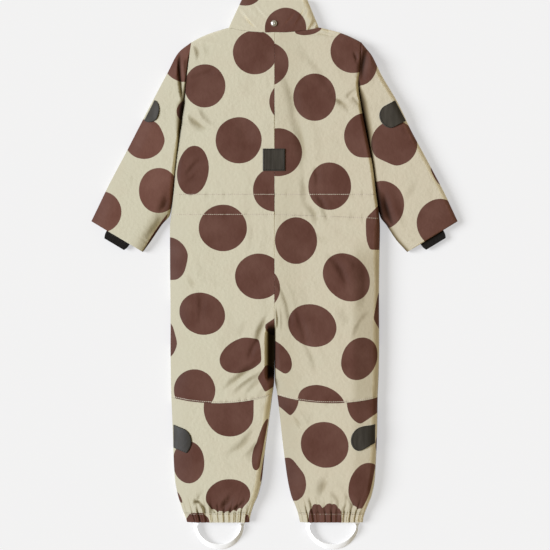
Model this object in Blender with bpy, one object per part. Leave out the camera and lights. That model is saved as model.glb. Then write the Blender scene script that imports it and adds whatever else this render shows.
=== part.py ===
"""A child's padded snowsuit laid flat, face down, with its back up.

Frame: +X to the right of someone who looks down on the back, +Y towards the collar, +Z up.
The origin is on the surface it lies on, below the middle of its outline. Sizes are in
millimetres and become metres where a mesh is made.

Each garment piece is a wall of padded cloth: an outer grid of points and an inner one,
joined round their edges. The backs lie on the fronts with a thin slot between them, and
the sleeves, the collar and the leg casings are flattened tubes.
"""

import math
from collections import namedtuple

import bmesh
import bpy

MM = 0.001

# Cloth, padding and the gaps between pieces.
SEAM_GAP = 0.3
EDGE_CLOTH = 2.4
SLOT = 3.2
LEG_SLOT = 3.9
CUFF_SLOT = 4.4
SEAM_SHARE = 0.36
FOLD_INSET = 3.2

# How far from an edge the padding reaches its full height.
SIDE_ROUND = 30.0
UNDER_ROUND = 16.0
SEAM_ROUND = 8.0
SHOULDER_ROUND = 26.0
SLEEVE_ROUND = 26.0

# Lifts: 1 is full height at an edge, 0 is a rounded edge.
JOINED = 0.86
HEM_LIFT = 0.5
COLLAR_TOP_LIFT = 0.35

# Body levels along Y.
CASING_TOP = -430.0
LEG_HEM = -447.6
KNEE_SEAM = -222.0
ARMHOLE_FOOT = 304.0
LEG_SLOT_START = -395.0
BODY_CROWN = 25.0
ZIP_FOOT = -60.0
COLLAR_TOP = 498.0

# The suit's half shapes, from hem to shoulder. y is the level at the side; rise lifts the
# centre over the side, peak lifts the neck point, bow bends the row (knee seam).
Row = namedtuple(
    "Row",
    "y rise peak bow side_left inner_left inner_right side_right crown lift_inner lift_left lift_right",
)
BODY = [
    Row(-448, 0, 0, 0, -157.5, -45.2, 46.0, 159.2, 14.0, 0.00, 0.0, 0.0),
    Row(-440, 0, 0, 0, -160.2, -44.0, 44.4, 160.2, 14.5, 0.00, 0.0, 0.0),
    Row(-430, 0, 0, 0, -164.0, -42.0, 42.0, 163.0, 16.0, 0.00, 0.0, 0.0),
    Row(-416, 0, 0, 0, -168.6, -37.5, 37.0, 168.4, 19.0, 0.00, 0.0, 0.0),
    Row(-400, 0, 0, 0, -173.8, -30.6, 30.4, 174.6, 22.0, 0.00, 0.0, 0.0),
    Row(-372, 0, 0, 0, -179.0, -23.4, 24.0, 180.2, 24.0, 0.00, 0.0, 0.0),
    Row(-334, 0, 0, 0, -181.6, -19.2, 18.6, 182.6, 25.0, 0.00, 0.0, 0.0),
    Row(-296, 0, 0, -2, -182.8, -14.6, 14.0, 184.2, 25.0, 0.00, 0.0, 0.0),
    Row(-252, 0, 0, -8, -184.6, -8.6, 9.2, 185.2, 25.0, 0.00, 0.0, 0.0),
    Row(-222, 4, 0, -12, -185.8, -4.2, 5.2, 185.6, 25.0, 0.00, 0.0, 0.0),
    Row(-192, 2, 0, -8, -186.6, -0.8, 1.2, 187.0, 25.0, 0.00, 0.0, 0.0),
    Row(-165, 0, 0, -3, -187.0, -0.5, 0.5, 187.8, 25.0, 0.00, 0.0, 0.0),
    Row(-130, 0, 0, 0, -187.4, -0.3, 0.3, 188.2, 25.0, 0.25, 0.0, 0.0),
    Row(-95, 0, 0, 0, -187.2, -0.15, 0.15, 188.2, 25.0, 0.85, 0.0, 0.0),
    Row(-50, 0, 0, 0, -187.4, -0.15, 0.15, 188.0, 25.0, 0.93, 0.0, 0.0),
    Row(20, 0, 0, 0, -188.2, -0.15, 0.15, 188.6, 25.0, 0.93, 0.0, 0.0),
    Row(83, 0, 0, 0, -188.4, -0.15, 0.15, 189.8, 25.0, 0.93, 0.0, 0.0),
    Row(105, 0, 0, 0, -186.4, -0.15, 0.15, 188.6, 24.0, 0.93, 0.0, 0.0),
    Row(143, 0, 0, 0, -182.6, -0.15, 0.15, 183.4, 24.0, 0.93, 0.0, 0.0),
    Row(190, 0, 0, 0, -178.4, -0.15, 0.15, 177.8, 25.0, 0.93, 0.0, 0.0),
    Row(254, 0, 0, 0, -170.4, -0.15, 0.15, 165.6, 25.0, 0.93, 0.0, 0.0),
    Row(304, 0, 0, 0, -164.2, -0.15, 0.15, 156.2, 25.0, 0.93, 0.0, 0.0),
    Row(342, 2, 1, 0, -159.4, -0.15, 0.15, 151.4, 25.0, 0.93, 0.86, 0.3),
    Row(367, 6, 5, 0, -156.2, -0.15, 0.15, 153.2, 25.0, 0.93, 0.86, 0.86),
    Row(395, 12, 11, 0, -152.6, -0.15, 0.15, 155.0, 24.0, 0.93, 0.86, 0.86),
    Row(417.5, 17, 17, 0, -149.9, -0.15, 0.15, 156.2, 23.0, 0.93, 0.86, 0.86),
]
# Where the neck point lies between the centre back and the armhole, and the knots of the
# neckline, which the panels and the collar share.
NECK_SHARE = {"left": 0.554, "right": 0.514}
NECK_KNOTS = (0.0, 0.14, 0.3, 0.52, 0.76, 1.0)
# How far each shoulder bows out above its straight line, as a share of the neck's peak.
SHOULDER_BOW = {"left": 0.22, "right": 0.27}

# The sleeves' sections, from the armhole to the hem: the fold on the outer side and the
# seam under the arm. Above the elbow the under-arm side lies against the body.
Section = namedtuple("Section", "reach fold_x fold_y under_x under_y crown")
SLEEVES = {
    "left": [
        Section(0.00, -149.9, 417.6, -162.9, 313.2, 24.5),
        Section(0.08, -173.0, 398.9, -165.8, 290.0, 24.0),
        Section(0.19, -192.4, 363.2, -169.9, 257.9, 23.0),
        Section(0.35, -220.3, 310.6, -175.7, 211.3, 22.0),
        Section(0.50, -246.1, 260.8, -180.4, 167.8, 21.5),
        Section(0.62, -266.4, 221.2, -183.6, 134.8, 21.0),
        Section(0.73, -285.8, 184.8, -188.5, 107.0, 20.5),
        Section(0.81, -299.4, 158.9, -202.7, 89.6, 20.0),
        Section(0.93, -319.0, 118.4, -223.4, 59.0, 18.5),
        Section(1.00, -330.4, 95.1, -237.6, 39.8, 17.0),
    ],
    "right": [
        Section(0.00, 156.2, 417.6, 151.4, 342.0, 24.5),
        Section(0.08, 174.8, 394.4, 154.6, 315.7, 24.0),
        Section(0.19, 193.0, 358.5, 160.7, 280.8, 23.0),
        Section(0.35, 222.8, 307.9, 170.6, 229.5, 22.0),
        Section(0.50, 246.6, 258.1, 178.9, 181.4, 21.5),
        Section(0.62, 267.4, 219.6, 183.6, 144.9, 21.0),
        Section(0.755, 290.8, 175.7, 190.5, 104.5, 20.5),
        Section(0.83, 303.6, 151.6, 202.3, 88.0, 20.0),
        Section(0.92, 317.9, 121.8, 219.2, 62.3, 18.5),
        Section(1.00, 330.4, 95.1, 239.6, 39.8, 17.0),
    ],
}

SLEEVE_LENGTH = 340.0

# The collar stands on the neckline, and narrows to these sides at its top.
COLLAR_HEAD = {"left": -59.0, "right": 59.2}
COLLAR_CORNER_DROP = 3.0
COLLAR_RISE = 54.0
COLLAR_HALF_WIDTH = 66.0
COLLAR_CROWN_FOOT = 24.0
COLLAR_CROWN_TOP = 19.0
COLLAR_END = 5.2

# The main creases of the upper side: troughs pressed in from (x0, y0) to (x1, y1).
THINNEST_WALL = 1.2
Crease = namedtuple("Crease", "x0 y0 x1 y1 width drop")
CREASES = [
    Crease(-143, 415, -134, 386, 6, 2.4),
    Crease(-156, 289, -118, 257, 8, 2.8),
    Crease(-158, 174, -131, 205, 6, 1.3),
    Crease(-62, 284, -45, 208, 14, 1.3),
    Crease(53, 403, 110, 316, 10, 1.6),
    Crease(110, 315, 136, 293, 6, 2.4),
    Crease(20, 357, 38, 282, 9, 2.1),
    Crease(37, 288, 55, 188, 10, 2.4),
    Crease(59, 128, 78, 89, 7, 2.4),
    Crease(76, 142, 94, 114, 6, 2.0),
    Crease(100, 33, 130, -17, 7, 2.6),
    Crease(159, 24, 161, -60, 9, 1.8),
    Crease(122, -62, 150, -88, 9, 1.4),
    Crease(-156, 4, -137, -25, 8, 2.2),
    Crease(5, -12, 29, -94, 6, 3.0),
    Crease(37, -64, 58, -126, 7, 2.6),
    Crease(56, -122, 78, -174, 7, 1.6),
    Crease(-12, -78, -30, -124, 6, 3.0),
    Crease(-28, -160, -86, -206, 6, 3.0),
    Crease(27, -250, 50, -279, 6, 2.3),
    Crease(-80, -323, -36, -284, 7, 1.9),
    Crease(97, -367, 85, -399, 8, 2.4),
    Crease(-142, -408, -123, -432, 6, 2.8),
    Crease(-97, -421, -77, -400, 6, 2.4),
    Crease(-171, 397, -168, 330, 5, 4.0),
    Crease(-193, 140, -205, 112, 7, 3.2),
    Crease(-213, 106, -231, 58, 6, 2.0),
    Crease(167, 408, 156, 348, 7, 4.0),
    Crease(197, 144, 209, 97, 7, 4.0),
    Crease(-63, 482, -28, 439, 5, 2.0),
    Crease(39, 470, 17, 445, 5, 2.0),
]

# The cleft beside the centre at the crotch, where the left leg dives under the right one.
CLEFT_LOW = -196.0
CLEFT_HIGH = -92.0
CLEFT_FADE = 22.0
CLEFT_SIDE = -18.0
CLEFT_SLOPE = 7.0

# Gathers over the elastic of each leg hem.
GATHERS = 11
GATHER_HEIGHT = 1.3
GATHER_REACH = 34.0

# Small pieces.
PATCH_LIFT = 0.85
PATCH_CLOTH = 0.9
PATCH_EDGE = 1.0
BACK_PATCH_SIDE = 40.0
BACK_PATCH_CENTRE = (-1.0, 205.0)
# A tab from the middle of its straight side (x, y) on the garment's edge: the way it points
# in degrees, half its width at the edge and at its end, its reach, where across its width it
# reaches furthest (-1 low, 1 high), and how much its two ends are rounded.
Tab = namedtuple("Tab", "x y points half_edge half_end reach peak round_high round_low")
LEG_TABS = {
    "left": Tab(-183.1, -291.6, -20.0, 19.4, 19.4, 36.8, -0.25, 24.0, 4.0),
    "right": Tab(182.0, -286.2, 199.0, 16.0, 20.0, 48.0, -0.25, 26.0, 12.0),
}
SLEEVE_TABS = {
    "left": Tab(-226.4, 295.1, -26.9, 20.5, 20.5, 21.0, -0.30, 20.0, 19.0),
    "right": Tab(227.7, 294.3, 208.1, 20.6, 20.6, 42.0, 0.00, 19.5, 16.0),
}
STUD_CENTRE = (-1.0, 450.0)
STUD_RADIUS = 5.6
STUD_HEIGHT = 2.2
CUFF_START = {"left": 32.5, "right": 30.5}
CUFF_WIDTH = 48.0
CUFF_TAPER = 3.5
CUFF_INSIDE = 14.0
CUFF_OUTSIDE = 14.5
CUFF_WALL = 1.4
CUFF_HEIGHT = 3.4
STRAP_WIDTH = 11.0
STRAP_CLOTH = 1.8
STRAP_CENTRE = {"left": -99.8, "right": 105.1}
STRAP_HALF_SPAN = {"left": 47.0, "right": 49.5}
# Where a strap still lies flat: the distance above the hem, and inside its half span.
STRAP_ROOT = ((12.0, 7.4), (0.0, 6.0), (-2.0, 5.8))
STRAP_LEAN = 6.0
STRAP_TWIST = 7.0
STRAP_TILT_ARM = math.radians(68)
STRAP_TILT_FOOT = math.radians(22)
STRAP_LOWEST = -498.0
ZIP_HALF_WIDTH = 4.6
ZIP_THICKNESS = 2.6
ZIP_CLOSE = 20.0
ZIP_FLOOR_GAP = 0.5
SLIDER_LENGTH = 13.0
SLIDER_HALF_WIDTH = 4.4
SLIDER_HEIGHT = 5.0

# Colours, as linear RGB.
CREAM = (0.64, 0.60, 0.45, 1.0)
BLACK = (0.012, 0.010, 0.008, 1.0)
REFLECTOR = (0.065, 0.060, 0.050, 1.0)
WHITE = (0.85, 0.85, 0.84, 1.0)
STEEL = (0.55, 0.55, 0.52, 1.0)

SIDES = ("left", "right")
SIGN = {"left": -1.0, "right": 1.0}


def make_material(name, colour, roughness, metallic=0.0):
    material = bpy.data.materials.new(name)
    material.use_nodes = True
    shader = material.node_tree.nodes["Principled BSDF"]
    shader.inputs["Base Color"].default_value = colour
    shader.inputs["Roughness"].default_value = roughness
    shader.inputs["Metallic"].default_value = metallic
    return material


def add_object(name, mesh, material, collection):
    mesh.materials.append(material)
    mesh.shade_smooth()
    mesh.set_sharp_from_angle(angle=math.radians(50))
    piece = bpy.data.objects.new(name, mesh)
    collection.objects.link(piece)
    return piece


def wall(name, outer, inner, material, collection, ring=False):
    """A closed wall between two grids of points. ring joins each row's end to its start."""
    rows = len(outer)
    columns = len(outer[0])
    shape = bmesh.new()
    skins = []
    for grid in (outer, inner):
        skins.append([[shape.verts.new([c * MM for c in point]) for point in row] for row in grid])
    spans = columns if ring else columns - 1
    for r in range(rows - 1):
        for c in range(spans):
            d = (c + 1) % columns
            shape.faces.new([skins[0][r][c], skins[0][r][d], skins[0][r + 1][d], skins[0][r + 1][c]])
            shape.faces.new([skins[1][r][c], skins[1][r + 1][c], skins[1][r + 1][d], skins[1][r][d]])
    for c in range(spans):
        d = (c + 1) % columns
        for r, turn in ((0, 1), (rows - 1, -1)):
            corners = [skins[0][r][c], skins[1][r][c], skins[1][r][d], skins[0][r][d]]
            shape.faces.new(corners[::turn])
    if not ring:
        for r in range(rows - 1):
            for c, turn in ((0, -1), (columns - 1, 1)):
                corners = [skins[0][r][c], skins[1][r][c], skins[1][r + 1][c], skins[0][r + 1][c]]
                shape.faces.new(corners[::turn])
    bmesh.ops.recalc_face_normals(shape, faces=shape.faces)
    mesh = bpy.data.meshes.new(name)
    shape.to_mesh(mesh)
    shape.free()
    return add_object(name, mesh, material, collection)


def smooth_value(keys, values, key):
    """A smooth curve through a short table, which never swings past its rows."""
    key = min(max(key, keys[0]), keys[-1])
    slot = next(i for i in range(len(keys) - 1) if key <= keys[i + 1])
    steps = [keys[i + 1] - keys[i] for i in range(len(keys) - 1)]
    rates = [(values[i + 1] - values[i]) / steps[i] for i in range(len(steps))]

    def slope(i):
        if i == 0:
            return rates[0]
        if i == len(rates):
            return rates[-1]
        if rates[i - 1] * rates[i] <= 0:
            return 0.0
        return 2 * rates[i - 1] * rates[i] / (rates[i - 1] + rates[i])

    h = steps[slot]
    t = (key - keys[slot]) / h
    start = (1 + 2 * t) * (1 - t) ** 2 * values[slot] + t * (1 - t) ** 2 * h * slope(slot)
    end = t * t * (3 - 2 * t) * values[slot + 1] + t * t * (t - 1) * h * slope(slot + 1)
    return start + end


def table_row(table, key):
    """The table's row at any key, which is its first column."""
    keys = [row[0] for row in table]
    columns = range(len(table[0]))
    return type(table[0])(*(smooth_value(keys, [row[c] for row in table], key) for c in columns))


def rounded(distance, radius, lift):
    """Share of the full height at a distance from an edge: a quarter circle over lift."""
    if distance >= radius:
        return 1.0
    rise = math.sqrt(max(0.0, 1 - (1 - max(distance, 0.0) / radius) ** 2))
    return lift + (1 - lift) * rise


def edge_steps(radius, count, length):
    """Shares of a length that step evenly round a rounded edge at its start."""
    return [radius * (1 - math.cos(math.pi / 2 * i / count)) / length for i in range(count + 1)]


def spread(start, end, count):
    return [start + (end - start) * i / count for i in range(count + 1)]


def crease_drop(x, y):
    """How far the creases press the upper side down at a point."""
    drop = 0.0
    for crease in CREASES:
        run_x = crease.x1 - crease.x0
        run_y = crease.y1 - crease.y0
        along = ((x - crease.x0) * run_x + (y - crease.y0) * run_y) / (run_x**2 + run_y**2)
        along = min(max(along, 0.0), 1.0)
        away = math.hypot(x - crease.x0 - along * run_x, y - crease.y0 - along * run_y)
        drop += crease.drop * math.exp(-((away / crease.width) ** 2))
    return drop


Layers = namedtuple("Layers", "top under_back over_front bottom")


def layers(crown, full, full_under, slot, sunk=0.0):
    """Heights of the two cloth layers where they are full (1) or come to an edge (0).

    sunk is the share of its padding that the upper side alone loses."""
    seam = SEAM_SHARE * crown
    top_edge = seam + EDGE_CLOTH
    top = top_edge + (crown - top_edge) * full * (1 - sunk)
    middle = seam + (crown / 2 - seam) * full
    bottom = (seam - EDGE_CLOTH) * (1 - full_under)
    return Layers(top, middle + slot / 2, middle - slot / 2, bottom)


def slot_height(widest, full):
    """The slot between the layers closes to a seam's gap where the layers meet."""
    return SEAM_GAP + (widest - SEAM_GAP) * full


def neck_curve(side, share):
    """Lift of the top row from the centre back to the shoulder's end: 1 at the neck point."""
    turn = share / NECK_SHARE[side]
    if turn >= 1.0:
        along = (share - NECK_SHARE[side]) / (1 - NECK_SHARE[side])
        return (1 - along) * (1 + SHOULDER_BOW[side] * 4 * along)
    slot = next(i for i in range(len(NECK_KNOTS) - 1) if turn <= NECK_KNOTS[i + 1])
    start, end = NECK_KNOTS[slot : slot + 2]
    part = (turn - start) / (end - start)
    return start**1.6 + (end**1.6 - start**1.6) * part


def body_point(side, level, share):
    """Plan place of the body's point at a row level, share 0 at the centre and 1 at the side."""
    row = table_row(BODY, level)
    start = getattr(row, "inner_" + side)
    end = getattr(row, "side_" + side)
    across = row.rise * (1 - share) + row.peak * neck_curve(side, share)
    across += row.bow * 4 * share * (1 - share)
    return start + (end - start) * share, level + across, row


def smoothstep(t):
    t = min(max(t, 0.0), 1.0)
    return t * t * (3 - 2 * t)


def cleft(side, level, x):
    """1 in the cleft beside the crotch, which only the left back has, and 0 outside it."""
    if side == "right":
        return 0.0
    lengthwise = smoothstep((level - CLEFT_LOW) / CLEFT_FADE) * smoothstep((CLEFT_HIGH - level) / CLEFT_FADE)
    return lengthwise * smoothstep((x - CLEFT_SIDE) / CLEFT_SLOPE)


def body_layers(side, level, share):
    """Plan place and layer heights of the body at a row level and share."""
    x, y, row = body_point(side, level, share)
    start = getattr(row, "inner_" + side)
    width = abs(getattr(row, "side_" + side) - start)
    lift_side = getattr(row, "lift_" + side)
    inner_round = SEAM_ROUND + (SIDE_ROUND - SEAM_ROUND) * (1 - row.lift_inner)
    shoulder = JOINED * (1 - shoulder_share(side, share))
    shoulder_gap = (BODY[-1].y - level) + 1e-6
    side_round = SIDE_ROUND * row.crown / BODY_CROWN
    full = rounded(width * (1 - share), side_round, lift_side)
    full *= rounded(width * share, inner_round * row.crown / BODY_CROWN, row.lift_inner)
    full *= rounded(shoulder_gap, SHOULDER_ROUND, shoulder)
    full_under = rounded(width * (1 - share), UNDER_ROUND, lift_side)
    full_under *= rounded(width * share, UNDER_ROUND, row.lift_inner)
    full_under *= rounded(shoulder_gap, UNDER_ROUND, shoulder)
    leg_end = min(1.0, max(0.0, (LEG_SLOT_START - level) / 20.0))
    slot = slot_height(SLOT + (LEG_SLOT - SLOT) * leg_end, full)
    full *= 1 - knee_dip(level)
    full *= 1 - casing_dip(level)
    return x, y, layers(row.crown, full, full_under, slot, cleft(side, level, x))


def shoulder_share(side, share):
    """0 along the neckline and 1 along the shoulder."""
    return min(1.0, max(0.0, (share - NECK_SHARE[side]) / 0.12))


def knee_dip(level):
    """The knee seam draws the padding down a little on both its sides."""
    return 0.12 * math.exp(-(((level - KNEE_SEAM) / 7.0) ** 2))


def casing_dip(level):
    """The two stitch lines of the waist casing draw the padding down."""
    dips = [math.exp(-(((level - line) / 6.0) ** 2)) for line in (143.0, 102.0)]
    return 0.10 * sum(dips)


def gathers(level, share):
    """Waves over the leg elastic, which fade up the leg."""
    fade = max(0.0, 1 - max(0.0, level - CASING_TOP) / GATHER_REACH) ** 1.4
    ends = min(1.0, 8 * share, 8 * (1 - share))
    uneven = 1 + 0.25 * math.sin(9.0 * share + 1.0)
    return GATHER_HEIGHT * fade * ends * uneven * math.cos(2 * math.pi * GATHERS * share)


def body_panel(name, side, levels, shares, upper, material, collection):
    """A back (upper) or front wall of the body over the given row levels and shares."""
    outer = []
    inner = []
    for level in levels:
        outer_row = []
        inner_row = []
        for share in shares:
            x, y, heights = body_layers(side, level, share)
            if not upper:
                x = zip_side(side, level, x)
                outer_row.append((x, y, heights.bottom))
                inner_row.append((x, y, heights.over_front))
                continue
            top = pressed(x, y, heights) + gathers(level, share)
            outer_row.append((x, y, top))
            inner_row.append((x, y, heights.under_back))
        outer.append(outer_row)
        inner.append(inner_row)
    return wall(name, outer, inner, material, collection)


def pressed(x, y, heights):
    """The upper side's height where the creases press it down."""
    return max(heights.top - crease_drop(x, y), heights.under_back + THINNEST_WALL)


def zip_side(side, level, x):
    """Moves a front's inner edge clear of the zip, down to the zip's foot."""
    opening = ZIP_HALF_WIDTH + SEAM_GAP
    if level < ZIP_FOOT - 1.0:
        opening = max(SEAM_GAP / 2, opening * (1 - (ZIP_FOOT - level) / ZIP_CLOSE))
    return SIGN[side] * max(abs(x), opening)


def make_body(cloth, collection):
    width = 185.0
    side_edge = [1 - share for share in reversed(edge_steps(SIDE_ROUND, 4, width))]
    last = BODY[-1].y
    back_levels = spread(KNEE_SEAM + SEAM_GAP / 2, 290.0, 25)
    back_levels += spread(ARMHOLE_FOOT, last - SHOULDER_ROUND, 7)
    back_levels += [last - share * SHOULDER_ROUND for share in (0.6, 0.28, 0.08, 0.0)]
    front_levels = spread(CASING_TOP + SEAM_GAP / 2, ZIP_FOOT - ZIP_CLOSE, 10)
    front_levels += spread(ZIP_FOOT - 1.0, 285.0, 8)
    front_levels += spread(ARMHOLE_FOOT, last - UNDER_ROUND, 7) + [last - 6.0, last]
    leg_steps = (0.0, 8.0, 18.0, 32.0, 58.0, 88.0, 108.0, 122.0, 136.0, 150.0, 164.0, 184.0)
    leg_levels = [CASING_TOP + SEAM_GAP / 2 + up for up in leg_steps]
    leg_levels.append(KNEE_SEAM - SEAM_GAP / 2)
    leg_shares = sorted(spread(0.0, 1.0, 3 * GATHERS) + [0.012, 0.988])
    for side in SIDES:
        neck = [knot * NECK_SHARE[side] for knot in NECK_KNOTS]
        shares = [0.0, 0.02, 0.055] + neck[1:] + [0.69] + side_edge
        front_shares = neck + [0.72] + side_edge[::2]
        body_panel("back_" + side, side, back_levels, shares, True, cloth, collection)
        body_panel("front_" + side, side, front_levels, front_shares, False, cloth, collection)
        body_panel("lower_leg_" + side, side, leg_levels, leg_shares, True, cloth, collection)


def make_leg_casings(cloth, collection):
    """The gathered tube round each ankle."""
    levels = (CASING_TOP - SEAM_GAP / 2, -439.0, LEG_HEM)
    upper = sorted(spread(0.0, 1.0, 3 * GATHERS) + [0.012, 0.988])
    lower = [0.988, 0.95, 0.85, 0.6, 0.35, 0.12, 0.04, 0.012]
    for side in SIDES:
        outer = []
        inner = []
        for level in levels:
            outer_row = []
            inner_row = []
            for share in upper + lower:
                over = len(outer_row) < len(upper)
                x, y, heights = body_layers(side, level, share)
                _, _, row = body_point(side, level, share)
                inset = FOLD_INSET / abs(getattr(row, "side_" + side) - getattr(row, "inner_" + side))
                slot_share = inset + (1 - 2 * inset) * share
                slot_x, _, slot_heights = body_layers(side, level, slot_share)
                if over:
                    outer_row.append((x, y, heights.top + gathers(CASING_TOP, share)))
                    inner_row.append((slot_x, y, slot_heights.under_back))
                else:
                    outer_row.append((x, y, heights.bottom))
                    inner_row.append((slot_x, y, slot_heights.over_front))
            outer.append(outer_row)
            inner.append(inner_row)
        wall("leg_casing_" + side, outer, inner, cloth, collection, ring=True)


def beside_body(side, x, y):
    """Keeps a sleeve's point clear of the body's side."""
    if y > BODY[-1].y:
        return x
    edge = abs(getattr(table_row(BODY, y), "side_" + side))
    return SIGN[side] * max(abs(x), edge + 2 * SEAM_GAP)


def sleeve_point(side, reach, share):
    """A sleeve's plan place: reach 0 at the armhole, 1 at the hem; share 1 at the fold."""
    cut = table_row(SLEEVES[side], reach)
    x = cut.under_x + (cut.fold_x - cut.under_x) * share
    y = cut.under_y + (cut.fold_y - cut.under_y) * share
    return beside_body(side, x, y), y, cut


def sleeve_layers(side, reach, share):
    x, y, cut = sleeve_point(side, reach, share)
    width = math.hypot(cut.fold_x - cut.under_x, cut.fold_y - cut.under_y)
    edges = (width * share, width * (1 - share))
    full = rounded(reach * SLEEVE_LENGTH, SEAM_ROUND, JOINED)
    full *= rounded((1 - reach) * SLEEVE_LENGTH, SLEEVE_ROUND, HEM_LIFT)
    full_under = 1.0
    open_share = 1.0
    for distance in edges:
        open_share *= rounded(distance, SLEEVE_ROUND, 0.0)
        full_under *= rounded(distance, UNDER_ROUND, 0.0)
    full *= open_share
    slot = slot_height(SLOT + (CUFF_SLOT - SLOT) * max(0.0, (reach - 0.75) / 0.25), open_share)
    return x, y, layers(cut.crown, full, full_under, slot)


def make_sleeves(cloth, collection):
    """Each sleeve is one piece: over the top, round the outer fold and back below."""
    reaches = [0.0, 0.03] + spread(0.08, 0.92, 13) + [0.96, 0.985, 1.0]
    width = 105.0
    edge = edge_steps(SLEEVE_ROUND, 3, width)
    over = edge + [0.45, 0.62] + [1 - share for share in reversed(edge)]
    under = [1.0, 0.96, 0.85, 0.5, 0.15, 0.04, 0.0]
    inset = FOLD_INSET / width
    for side in SIDES:
        outer = []
        inner = []
        for reach in reaches:
            outer_row = []
            inner_row = []
            for share in over + under:
                upper = len(outer_row) < len(over)
                x, y, heights = sleeve_layers(side, reach, share)
                slot_x, slot_y, slot = sleeve_layers(side, reach, share * (1 - inset))
                if upper:
                    outer_row.append((x, y, pressed(x, y, heights)))
                    inner_row.append((slot_x, slot_y, slot.under_back))
                else:
                    outer_row.append((x, y, heights.bottom))
                    inner_row.append((slot_x, slot_y, slot.over_front))
            outer.append(outer_row)
            inner.append(inner_row)
        wall("sleeve_" + side, outer, inner, cloth, collection)


def collar_point(turn, height):
    """The collar's plan place: turn -1 at the left side and 1 at the right, height 0 to 1."""
    side = "left" if turn < 0 else "right"
    share = abs(turn)
    foot_x, foot_y, _ = body_point(side, BODY[-1].y, share * NECK_SHARE[side])
    head_x = COLLAR_HEAD[side] * share
    head_y = COLLAR_TOP - COLLAR_CORNER_DROP * share**4
    x = foot_x + (head_x - foot_x) * height
    y = foot_y + SEAM_GAP + (head_y - foot_y - SEAM_GAP) * height
    return x, y


def collar_layers(turn, height):
    x, y = collar_point(turn, height)
    crown = COLLAR_CROWN_FOOT + (COLLAR_CROWN_TOP - COLLAR_CROWN_FOOT) * height
    edge = COLLAR_HALF_WIDTH * (1 - abs(turn))
    full = rounded(edge, SLEEVE_ROUND, 0.0)
    full *= rounded(height * COLLAR_RISE, SEAM_ROUND, JOINED)
    full *= rounded((1 - height) * COLLAR_RISE, SEAM_ROUND, COLLAR_TOP_LIFT)
    full_under = rounded(edge, UNDER_ROUND, 0.0)
    full_under *= rounded((1 - height) * COLLAR_RISE, SEAM_ROUND, COLLAR_TOP_LIFT)
    return x, y, layers(crown, full, full_under, slot_height(SLOT, full))


def make_collar(cloth, collection):
    """One band: from the zip under the left side, across the back and to the zip again."""
    heights = [0.0, 0.1, 0.35, 0.65, 0.88, 0.97, 1.0]
    half = list(NECK_KNOTS[:-2]) + [0.66, 0.76, 0.86, 0.96, 1.0]
    over = [-turn for turn in reversed(half)] + half[1:]
    inset = 1 - FOLD_INSET / COLLAR_HALF_WIDTH
    outer = []
    inner = []
    for height in heights:
        outer_row = []
        inner_row = []
        below = [turn for turn in half if turn > 0]
        turns = [(-turn, False) for turn in [0.0] + below] + [(turn, True) for turn in over]
        turns += [(turn, False) for turn in reversed([0.0] + below)]
        for index, (turn, upper) in enumerate(turns):
            x, y, level = collar_layers(turn, height)
            slot_x, slot_y, slot = collar_layers(turn * inset, height)
            if upper:
                outer_row.append((x, y, pressed(x, y, level)))
                inner_row.append((slot_x, slot_y, slot.under_back))
                continue
            if turn == 0:
                x = -COLLAR_END if index == 0 else COLLAR_END
                slot_x = x
            outer_row.append((x, y, level.bottom))
            inner_row.append((slot_x, slot_y, slot.over_front))
        outer.append(outer_row)
        inner.append(inner_row)
    wall("collar", outer, inner, cloth, collection)


def make_patch(name, grid, material, collection):
    """A thin cloth patch over a grid of points of the upper side."""
    lower = [[(x, y, z + PATCH_LIFT) for x, y, z in row] for row in grid]
    upper = [[(x, y, z + PATCH_LIFT + PATCH_CLOTH) for x, y, z in row] for row in grid]
    wall(name, upper, lower, material, collection)


def body_top(side, x, y):
    """The upper side's point at a plan place of the body, where rows are straight."""
    row = table_row(BODY, y)
    start = getattr(row, "inner_" + side)
    share = (x - start) / (getattr(row, "side_" + side) - start)
    _, _, heights = body_layers(side, y, min(max(share, 0.0), 1.0))
    return x, y, pressed(x, y, heights)


def sleeve_over(side, x, y):
    """The upper side's point at a plan place of a sleeve, found by halving the reach."""
    low, high = 0.0, 1.0
    for _ in range(30):
        reach = (low + high) / 2
        cut = table_row(SLEEVES[side], reach)
        run_x = cut.fold_x - cut.under_x
        run_y = cut.fold_y - cut.under_y
        beyond = (run_x * (y - cut.under_y) - run_y * (x - cut.under_x)) * SIGN[side] < 0
        low, high = (reach, high) if beyond else (low, reach)
    share = (run_x * (x - cut.under_x) + run_y * (y - cut.under_y)) / (run_x**2 + run_y**2)
    _, _, heights = sleeve_layers(side, reach, min(max(share, 0.0), 1.0))
    return x, y, pressed(x, y, heights)


def tab_grid(tab, side, upright_edge, place):
    """Points of a tab, from its straight side on the garment's edge to its round end."""
    angle = math.radians(tab.points)
    way = (math.cos(angle), math.sin(angle))
    across = (SIGN[side] * way[1], -SIGN[side] * way[0])
    slant = across[0] / way[0] if upright_edge else 0.0
    grid = []
    for step in spread(-90.0, 90.0, 8):
        turn = math.sin(math.radians(step))
        near = turn * tab.half_edge
        start = PATCH_EDGE - near * slant
        past = (turn - tab.peak) / (1 - tab.peak) if turn > tab.peak else (tab.peak - turn) / (1 + tab.peak)
        corner = tab.round_high if turn > tab.peak else tab.round_low
        end = max(tab.reach - corner * (1 - math.sqrt(max(0.0, 1 - past * past))), start + 1.0)
        row = []
        for share in (0.0, 0.04, 0.12, 0.3, 0.55, 0.8, 1.0):
            aside = near + turn * (tab.half_end - tab.half_edge) * smoothstep(share)
            along = start + (end - start) * share
            x = tab.x + across[0] * aside + way[0] * along
            y = tab.y + across[1] * aside + way[1] * along
            row.append(place(side, x, y))
        grid.append(row)
    return grid


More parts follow.
